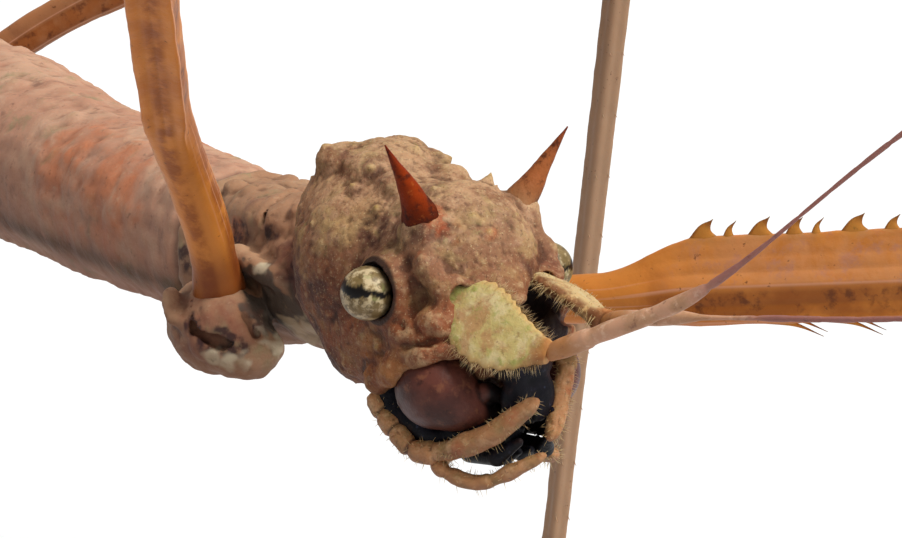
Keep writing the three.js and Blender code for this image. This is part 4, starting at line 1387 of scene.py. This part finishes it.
def head_finish():
    f = Finish("head_skin", "8e6448", rough=0.66, glow=0.1, specular=0.2, deep=0.6)
    f.mottle("ac8e60", (0.95, 5, 0.6, 0.4), 0.45, 0.62, 0.8)
    f.mottle("6c4a3e", (1.5, 5, 0.6, 0.6), 0.5, 0.7, 0.7)
    f.mottle("a37c62", (0.4, 4, 0.6), 0.5, 0.66, 0.7)
    f.mottle("8a8450", (0.7, 4, 0.6, 0.3), 0.6, 0.72, 0.5)
    f.mottle("caa07a", (0.8, 5, 0.65), 0.38, 0.6, 0.68, on="crown")
    f.mottle("86401c", (0.8, 5, 0.65), 0.22, 0.5, 0.68, on="cheek")
    f.mottle("b28e60", (0.5, 4), 0.35, 0.6, 0.75, on="ochre")
    # mostly painted shadow, laid in ragged spots
    f.mottle("4c2820", (0.45, 4), 0.25, 0.55, 0.85, on="dark")
    f.mottle("a8502a", (0.35, 4), 0.35, 0.6, 0.7, on="rust")
    f.wash("b8a058", "knob", 0.25, 0.85, 0.4)
    # painted highlight on the tops of small rises
    f.mottle("c9aa80", (0.3, 3), 0.4, 0.6, 0.45, on="high")
    f.mottle("4a3020", (0.2, 4, 0.7), 0.6, 0.76, 0.6)
    f.mottle("523a28", (0.08, 3, 0.7), 0.54, 0.7, 0.6)
    f.mottle("d0b88c", (0.07, 3, 0.7), 0.57, 0.72, 0.6)
    # painted shadow in the groove around each eye
    f.wash("2a1a16", "rim", 0.15, 0.75, 0.9)
    f.mottle("a8662a", (0.5, 5, 0.65), 0.35, 0.6, 0.65, on="amber")
    # painted shadow in the hollows under the feelers' leaves
    f.wash("14121a", "hollow", 0.1, 0.8, 0.92)
    f.emboss(f.noise(0.34, 5, 0.6), 0.05)
    f.emboss(f.noise(0.1, 4, 0.65), 0.03)
    f.emboss(f.cells(0.13), -0.016)
    f.vary(f.noise(0.6, 3), 0.55, 0.8)
    return f.done()


def body_finish(name, base, light):
    f = Finish(name, base, rough=0.68, glow=0.08, specular=0.22, deep=0.5, shade=0.8)
    f.mottle(light, (2.6, 5, 0.6, 0.5), 0.42, 0.62, 0.8)
    f.mottle("8d8560", (1.7, 4, 0.6, 0.4), 0.56, 0.7, 0.6)
    f.mottle("7a5648", (1.1, 5, 0.65), 0.56, 0.74, 0.6)
    f.mottle("c6744a", (1.6, 5, 0.6, 0.4), 0.33, 0.6, 0.75, on="rust")
    f.mottle("5e3a0c", (1.0, 4, 0.6), 0.2, 0.5, 0.8, on="stripe")
    f.wash("4c4a44", "neck", 0.04, 0.6, 0.85)
    f.mottle("5c342c", (0.6, 5, 0.65), 0.2, 0.5, 0.85, on="nape")
    f.mottle("8a4c3a", (0.6, 5, 0.65), 0.3, 0.7, 0.7, on="bruise")
    # painted shadow in the gaps and grooves
    f.lay("351c20", f.times(f.band(f.paint("pit"), 0.02, 0.7, 0.9), f.band(f.noise(0.35, 4), 0.25, 0.6)))
    f.wash("d2c2a4", "pale", 0.1, 0.95, 0.85)
    f.wash("a89068", "bump", 0.3, 0.9, 0.45)
    f.wash("3c2824", "joint", 0.45, 1.0, 0.7)
    f.mottle("4a3026", (0.4, 4, 0.7), 0.58, 0.74, 0.5)
    f.mottle("c8ae8c", (0.3, 4, 0.7), 0.58, 0.74, 0.4)
    f.emboss(f.noise(0.6, 5, 0.6), 0.06)
    f.emboss(f.noise(0.18, 4, 0.65), 0.025)
    f.vary(f.noise(0.8, 3), 0.55, 0.8)
    return f.done()


def leg_finish(name, base, shade):
    f = Finish(name, base, rough=0.45, glow=0.2, specular=0.14, deep=0.25, shade=0.45)
    f.mottle(shade, (2.2, 5, 0.6, 0.5), 0.45, 0.68, 0.6)
    f.mottle("cb8a58", (1.6, 5, 0.6, 0.4), 0.3, 0.56, 0.8, on="face")
    f.mottle("b47c66", (0.7, 5, 0.7), 0.5, 0.64, 0.6, on="face")
    f.mottle("8c481a", (0.8, 5, 0.65), 0.34, 0.6, 0.8, on="stripe")
    # the lower facets: their own red-brown, deepened as painted shade
    f.mottle("98521e", (1.5, 4), 0.25, 0.55, 0.75, on="under")
    f.mottle("592c1a", (0.7, 5, 0.65), 0.5, 0.66, 0.7, on="under")
    # painted shade at the root of a right femur, where it leaves its hip
    f.wash("6e3216", "root", 0.05, 0.95, 0.7)
    # painted highlights on the edges and lines
    f.wash("dca284", "ridge", 0.25, 0.9, 0.7)
    f.wash("a2866c", "shin", 0.2, 0.8, 0.75)
    f.mottle("55301f", (0.3, 3, 0.7), 0.64, 0.74, 0.75)
    f.wash("c58c3c", "tip", 0.1, 0.5, 0.7)
    f.mottle("4c2818", (0.5, 3), 0.3, 0.5, 0.7, on="rim")
    f.wash("4c2818", "tip", 0.5, 0.95, 0.85)
    f.emboss(f.noise(0.5, 5, 0.6), 0.03)
    f.emboss(f.noise(0.12, 3), 0.008)
    f.vary(f.noise(0.9, 3), 0.38, 0.6)
    return f.done()


def horn_finish(name, base, root):
    f = Finish(name, base, rough=0.5, glow=0.05, specular=0.06, deep=0.5, shade=0.6)
    f.wash(root, "along", 0.5, 0.1, 0.9)
    f.wash("6a2412", "along", 0.6, 1.0, 0.8)
    f.mottle("331610", (0.35, 5, 0.65), 0.5, 0.66, 0.75)
    f.mottle("b0622c", (0.22, 4, 0.65), 0.58, 0.72, 0.5)
    f.emboss(f.noise(0.2, 4, 0.6), 0.04)
    f.emboss(f.noise(0.07, 3, 0.6), 0.012)
    return f.done()


def eye_finish():
    f = Finish("eye_shell", "88724a", rough=0.36, glow=0.04, specular=0.2, deep=0, shade=0.6)
    f.mottle("6e5c38", (0.3, 4, 0.6), 0.42, 0.62, 0.8)
    f.mottle("dcc8a0", (0.28, 3, 0.6), 0.46, 0.62, 0.7)
    f.mottle("8c9058", (0.5, 2), 0.54, 0.68, 0.6)
    rings = f.math("ABSOLUTE", f.math("SUBTRACT", f.cells(0.24), 0.26))
    f.lay("4a3826", f.band(rings, 0.1, 0.03, 0.45))
    # painted shade on the eye's inner side
    f.wash("3a2c1c", "edge", 0.1, 0.9, 0.9)
    f.lay("0a0604", f.paint("stripe"))
    f.emboss(f.cells(0.035), 0.002)
    return f.done()


def jaw_finish():
    f = Finish("jaw_shell", "60342a", rough=0.4, glow=0.03, specular=0.2)
    f.mottle("42201a", (1.1, 4, 0.6), 0.4, 0.65, 0.85)
    f.mottle("7e4e36", (0.35, 5, 0.7), 0.53, 0.7, 0.7)
    f.mottle("2a1410", (0.5, 5, 0.7), 0.56, 0.7, 0.7)
    # painted pale reflection on the dome's lower outer side
    f.mottle("8c8086", (0.5, 4), 0.3, 0.6, 0.6, on="pale")
    # painted shadow over the jaw's inner part
    f.wash("0c080a", "inner", 0.05, 0.6, 0.97)
    f.lay("2a1512", f.band(f.cells(0.4), 0.12, 0.05, 0.5))
    f.emboss(f.noise(0.4, 5, 0.6), 0.03)
    f.emboss(f.noise(0.1, 3), 0.006)
    f.vary(f.noise(0.5, 3), 0.34, 0.55)
    return f.done()


def mouth_finish():
    # a near-black finish for the upper lip and the inner mouthparts: painted shadow of the mouth opening
    f = Finish("mouth_shell", "0c0b12", rough=0.5, specular=0.12, deep=0.5)
    f.mottle("1e1a26", (0.4, 4, 0.6), 0.5, 0.7, 0.7)
    # small bluish spots: painted glints
    f.mottle("3c4256", (0.2, 4, 0.65), 0.62, 0.74, 0.5)
    f.mottle("2e1a14", (0.7, 3), 0.52, 0.68, 0.7)
    f.emboss(f.noise(0.25, 5, 0.6), 0.05)
    return f.done()


def palp_finish():
    f = Finish("palp_skin", "b37e52", rough=0.62, glow=0.15, specular=0.35)
    f.mottle("8d7344", (0.8, 4, 0.6), 0.44, 0.64, 0.7)
    f.mottle("cb9f74", (0.35, 4, 0.6), 0.48, 0.66, 0.65)
    f.mottle("a85a34", (0.9, 4, 0.6), 0.56, 0.7, 0.6)
    f.mottle("5a3824", (0.25, 4, 0.65), 0.58, 0.74, 0.7)
    f.emboss(f.noise(0.2, 5, 0.6), 0.05)
    f.emboss(f.cells(0.1), -0.012)
    return f.done()


def scape_finish(name, base, patch):
    f = Finish(name, base, rough=0.7, glow=0.15, specular=0.25, deep=0.5)
    f.mottle("ccb98c", (0.45, 4, 0.6), 0.46, 0.62, 0.7)
    f.mottle("a87850", (0.8, 5, 0.6, 0.4), 0.48, 0.64, 0.75)
    f.mottle(patch, (0.6, 5, 0.65), 0.52, 0.66, 0.8)
    f.mottle("7a5838", (0.22, 4, 0.65), 0.58, 0.72, 0.6)
    f.mottle("ddd0a4", (0.12, 3, 0.65), 0.6, 0.74, 0.5)
    ends = f.math("ABSOLUTE", f.math("SUBTRACT", f.paint("along"), 0.48))
    f.lay("b06e38", f.band(ends, 0.38, 0.5, 0.85))
    f.lay("cfa468", f.times(f.paint("edge"), 0.6))
    f.mottle("6a3418", (0.3, 4, 0.6), 0.3, 0.55, 0.85, on="under")
    f.emboss(f.noise(0.3, 5, 0.6), 0.07)
    f.emboss(f.noise(0.1, 4, 0.6), 0.02)
    return f.done()


def whip_finish():
    f = Finish("whip_skin", "cc9c7c", rough=0.6, glow=0.15, specular=0.3, deep=0.4, shade=0.5)
    f.mottle("b08660", (0.6, 4), 0.45, 0.65, 0.7)
    f.mottle("e2bea2", (0.25, 4, 0.65), 0.52, 0.68, 0.6)
    f.wash("b0743c", "along", 0.02, 0.008, 0.8)
    f.wash("96605c", "along", 0.06, 0.085, 0.85)
    f.mottle("7a4a3c", (0.3, 4, 0.65), 0.58, 0.72, 0.6)
    f.emboss(f.noise(0.2, 4), 0.03)
    return f.done()


def bristle_finish():
    f = Finish("bristles", "cfae74", rough=0.5, glow=0.2, deep=0, shade=0)
    f.mottle("a9793f", (0.4, 3), 0.45, 0.65, 0.8)
    return f.done()


def floor_finish():
    f = Finish("studio_floor", "f6f8fb", rough=0.9, specular=0.1, deep=0, shade=0)
    return f.done()


# ---- The insect's pieces ----


def build_head():
    make_on_head("head_skin", skull_skin(), head_finish(), "head", "head")
    # the near-black finish of painted shadow for the upper lip and the mouthparts
    dark = mouth_finish()
    make_on_head("upper_lip", lip_skin(), dark, "head", "labrum")
    make_on_head("mouthparts", mouth_skin(), dark, "jaw", "labium")
    hair, lash, palp = bristle_finish(), whip_finish(), palp_finish()
    leaves = {
        "right": scape_finish("scape_right_skin", "bba86a", "8f9448"),
        "left": scape_finish("scape_left_skin", "c9ab78", "a8844c"),
    }
    # the left horn takes the right horn's colours made paler: painted light, as it stands in the light
    horns = {
        "right": horn_finish("horn_right_shell", "8a3008", "200c06"),
        "left": horn_finish("horn_left_lit_shell", "9c5a32", "94704e"),
    }
    shell, iris = jaw_finish(), eye_finish()
    jaw = jaw_skin()
    for name, side in SIDES.items():
        make_on_head(f"eyeball_{name}", eye_skin(side), iris, "eye", f"eye_{name}")
        make_on_head(f"horn_shell_{name}", horn_skin(side), horns[name], "horn", f"horn_{name}")
        jaw_here = jaw if side < 0 else mirrored(jaw)
        make_on_head(f"jaw_{name}", jaw_here, shell, "jaw", f"mandible_{name}")
        scape = scape_skin(name)
        make_on_head(f"scape_leaf_{name}", scape, leaves[name], "feeler", f"scape_{name}")
        make_on_head(f"scape_fringe_{name}", scape_fringe(name, scape), hair, "feeler")
        whip_solids = [f"flagellum_{part}_{name}" for part in ("base", "tip")]
        make_on_head(f"whip_{name}", whip_skin(name), lash, "feeler", *whip_solids)
    for name in PALPS:
        part = palp_skin(name)
        make_on_head(f"{name}_skin", part, palp, "feeler", name)
        make_on_head(f"{name}_fringe", palp_fringe(name, part), hair, "feeler")


# The marks on the right side of the prothorax and the neck, which come again on the left: x, y, z, reach.
FRONT_MARKS = {
    "nape": [(-1.6, 7.3, 29.2, 1.0), (-1.8, 6.8, 28.7, 0.9), (-1.86, 6.4, 28.2, 0.9)],
    # a darker reddish patch on each fore coxa
    "bruise": [(-4.1, 8.6, 26.7, 1.7), (-4.0, 9.4, 27.9, 1.3), (-3.2, 8.2, 26.9, 1.1)],
    # painted shadow in the gaps and grooves of the prothorax, its coxae and the neck
    "pit": [(-2.6, 13.6, 27.95, 0.6), (-4.3, 9.9, 28.3, 0.7), (-4.29, 8.79, 26.8, 0.5),
            (-4.05, 8.42, 26.4, 0.55), (-3.67, 8.06, 26.4, 0.55), (-3.24, 7.91, 26.3, 0.45),
            (-1.93, 10.55, 29.25, 0.5), (-1.67, 8.94, 29.44, 0.4), (-2.08, 6.84, 28.6, 0.4)],
    "pale": [(-2.37, 7.94, 28.64, 0.3), (-1.2, 7.6, 26.4, 0.9), (-1.3, 6.9, 26.8, 0.7),
             (-3.87, 8.38, 25.95, 0.5), (-3.43, 8.15, 25.8, 0.5), (-3.01, 8.01, 25.9, 0.5),
             (-2.13, 6.24, 28.16, 0.3), (-1.53, 6.31, 26.72, 0.8), (-1.67, 7.59, 26.4, 0.9),
             (-1.2, 5.6, 26.6, 0.9), (-0.9, 7.0, 25.8, 0.9)],
    "neck": [(-2.12, 7.89, 27.71, 0.8), (-1.9, 8.26, 26.81, 0.75), (-2.06, 5.79, 27.71, 0.8),
             (-2.4, 8.64, 28.2, 0.5), (-1.9, 7.4, 27.4, 0.9), (-2.3, 8.3, 27.3, 0.8),
             (-2.3, 7.7, 28.0, 0.8), (-2.05, 8.0, 27.6, 1.0)],
    "rust": [(-1.93, 10.66, 29.27, 0.6), (-2.9, 8.1, 27.2, 0.5), (-1.85, 7.39, 29.17, 0.5)],
}


def front_skin():
    """The prothorax and the neck, with their marks."""
    skin = front_clay().skin()
    p = skin.points
    grains = pebbles(p, 0.5, 61) * 0.06
    skin.push(grains + 0.09 * noise(p, 1.2, 62) + 0.045 * noise(p, 0.4, 63) - 0.02)
    for name, marks in FRONT_MARKS.items():
        stain(skin, name, both_sides(marks))
    skin.paint["neck"] = np.maximum(skin.paint["neck"], smooth(p[:, 1], 7.4, 6.6) * 0.8)
    skin.paint["joint"] = smooth(p[:, 1], 14.2, 14.7)
    return skin


def build_trunk():
    solids = [name for name, *_ in TRUNK]
    body = body_finish("body_skin", "bb8a70", "c9a084")
    belly = body_finish("abdomen_skin", "946e58", "a98468")
    coxae = [f"coxa_fore_{name}" for name in SIDES]
    front = body_finish("front_skin", "a67c5e", "b58e6e")
    make("prothorax_skin", front_skin(), front, "body", solids[0], *coxae)
    thorax = thorax_skin()
    stain(thorax, "rust", both_sides([(2.2, back, 29, 3.0) for back in (20, 24)]))
    thorax.paint["stripe"] = bell(np.sin(thorax.angle()) + 0.47, 0.15)
    make("thorax_skin", thorax, body, "body", *solids[1:4])
    abdomen = abdomen_skin()
    height = np.sin(abdomen.angle())
    abdomen.paint["stripe"] = bell(height + 0.62, 0.22) * (height < -0.2)
    make("abdomen_skin", abdomen, belly, "abdomen", *solids[4:13])
    make("end_blade", plate_skin(), belly, "abdomen", "subgenital_plate")
    for name, side in SIDES.items():
        make(f"cercus_{name}_skin", cercus_skin(side), belly, "abdomen", f"cercus_{name}")


def paint_femur(femur, length, fore, side):
    """Paints the root, the facets, the edges and the dark lower side of a femur. On the right legs the darker
    root is painted shade where the femur leaves its hip, the paler edges and the lines near a fore femur's
    root are painted highlights, and the lower facets of a blade are their own red-brown deepened with painted
    shade.
    """
    a, t = femur.angle(), femur.paint["along"] * length
    off = lambda turn: np.abs(turned_by(a, turn))
    thin = lambda turn, width: bell(np.minimum(off(turn), off(np.pi - turn)), width)
    blade = smooth(t, 7, 10) if fore else smooth(t, 1, 4)
    facets = np.minimum(off(-0.32), off(np.pi + 0.32))
    edges = np.maximum(thin(0.18, 0.03), thin(-0.81, 0.05)) * blade
    lines = sum(thin(turn, 0.05) for turn in (-0.55, -0.2, 0.15, 0.5))
    lines = lines * smooth(t, 1.5, 4) * smooth(t, 11, 8)
    below, behind = smooth(off(-np.pi / 2), 0.5, 0.2), smooth(off(np.pi), 0.6, 0.2)
    # on the right legs, painted shade where the femur leaves its hip
    femur.paint["root"] = smooth(t, 3.8, 1.3) * (side < 0)
    # the lower facets of a blade, their own red-brown to be deepened with painted shade
    femur.paint["under"] = smooth(facets, 0.48, 0.36) * blade
    # painted highlights along the edges, and on a fore femur along the lines near its root
    femur.paint["ridge"] = edges + 0.7 * lines * fore
    femur.paint["face"] = smooth(np.sin(a), 0.1, 0.25) * smooth(t, 8.5, 12)
    femur.paint["stripe"] = np.maximum(below, behind * (1 - blade))


def build_leg(pair, name, side, finish, body):
    """A leg as one piece, and for a middle or hind leg its hip as another."""
    leg, fore = LEGS[pair], pair == "fore"
    length = leg["femur"]
    femur, path, high, low = femur_skin(pair, side)
    paint_femur(femur, length, fore, side)
    if fore:
        thorns = saw_skins(path, length, high, low, FIRST_SPINE[side])
    else:
        thorns = small_spines(path, length, low, leg["across"] * 0.62)
    for thorn_skin in thorns:
        thorn_skin.paint["tip"] = thorn_skin.paint["along"]
        thorn_skin.paint["rim"] = np.abs(np.sin(thorn_skin.angle())) ** 6
    shin, foot = shin_skin(pair, side), foot_skin(pair, side)
    shin.paint["shin"] = np.ones(len(shin.points))
    whole = merged([femur, *thorns, shin, foot])
    parts = [f"{part}_{pair}_{name}" for part in ("femur", "tibia", "tarsus")]
    make(f"leg_{pair}_{name}", whole, finish, "leg", *parts)
    if not fore:
        make(f"hip_{pair}_{name}", coxa_skin(pair, side), body, "body", f"coxa_{pair}_{name}")


def build_legs():
    fore = leg_finish("fore_leg_shell", "d08238", "b0662a")
    rest = leg_finish("leg_shell", "b07850", "966444")
    hips = body_finish("hip_skin", "96695a", "a67c66")
    for pair in LEGS:
        for name, side in SIDES.items():
            build_leg(pair, name, side, fore if pair == "fore" else rest, hips)


# ---- The studio ----

# The camera stands before the insect's right cheek and looks down at its head.
CAMERA_PLACE = (-33.44, -59.84, 14.2)  # from the middle of the eyes
CAMERA_HEADING, CAMERA_DOWN = math.radians(29), math.radians(11.5)
FOCAL_LENGTH, SENSOR_WIDTH = 100.58, 36
NEAREST, FARTHEST = 0.002, 20  # what the camera sees, in metres
FLOOR_HALF = 4.0  # half the width of the floor, in metres
SKY_COLOR, SKY_STRENGTH = (0.96, 0.98, 1.0, 1), 0.4
SUN_WAY = (0.32, -0.46, 0.8)  # towards the sun
SUN_COLOR, SUN_STRENGTH, SUN_WIDTH = (1.0, 0.98, 0.94), 3.1, math.radians(28)


def build_camera():
    turn, down = CAMERA_HEADING, CAMERA_DOWN
    right = np.array([math.cos(turn), -math.sin(turn), 0])
    ahead = np.array([math.sin(turn) * math.cos(down), math.cos(turn) * math.cos(down), -math.sin(down)])
    axes = np.stack([right, np.cross(right, ahead), -ahead], 1)
    place = (np.array(CAMERA_PLACE) + SHIFT + (0, 0, EYE_LEVEL)) * MM
    lens = bpy.data.cameras.new("camera")
    lens.lens, lens.sensor_width = FOCAL_LENGTH, SENSOR_WIDTH
    lens.clip_start, lens.clip_end = NEAREST, FARTHEST
    camera = add("camera", lens)
    camera.matrix_world = Matrix.Translation(place) @ Matrix(axes.tolist()).to_4x4()
    bpy.context.scene.camera = camera


def build_floor():
    mesh = bpy.data.meshes.new("floor")
    corners = [(x * FLOOR_HALF, y * FLOOR_HALF, 0) for x, y in ((-1, -1), (1, -1), (1, 1), (-1, 1))]
    mesh.from_pydata(corners, [], [(0, 1, 2, 3)])
    mesh.materials.append(floor_finish())
    floor = add("floor", mesh)


def build_light():
    world = bpy.data.worlds.new("studio")
    world.use_nodes = True
    sky = world.node_tree.nodes["Background"]
    sky.inputs["Color"].default_value = SKY_COLOR
    sky.inputs["Strength"].default_value = SKY_STRENGTH
    bpy.context.scene.world = world
    sun = bpy.data.lights.new("key", "SUN")
    sun.energy, sun.angle, sun.color = SUN_STRENGTH, SUN_WIDTH, SUN_COLOR
    toward = unit(SUN_WAY)
    side = unit(np.cross(UP, toward))
    axes = np.stack([side, np.cross(toward, side), toward], 1)
    add("key", sun).matrix_world = Matrix(axes.tolist()).to_4x4()
    bpy.context.scene.view_settings.view_transform = "Standard"


build_camera()
build_floor()
build_light()
build_head()
build_trunk()
build_legs()
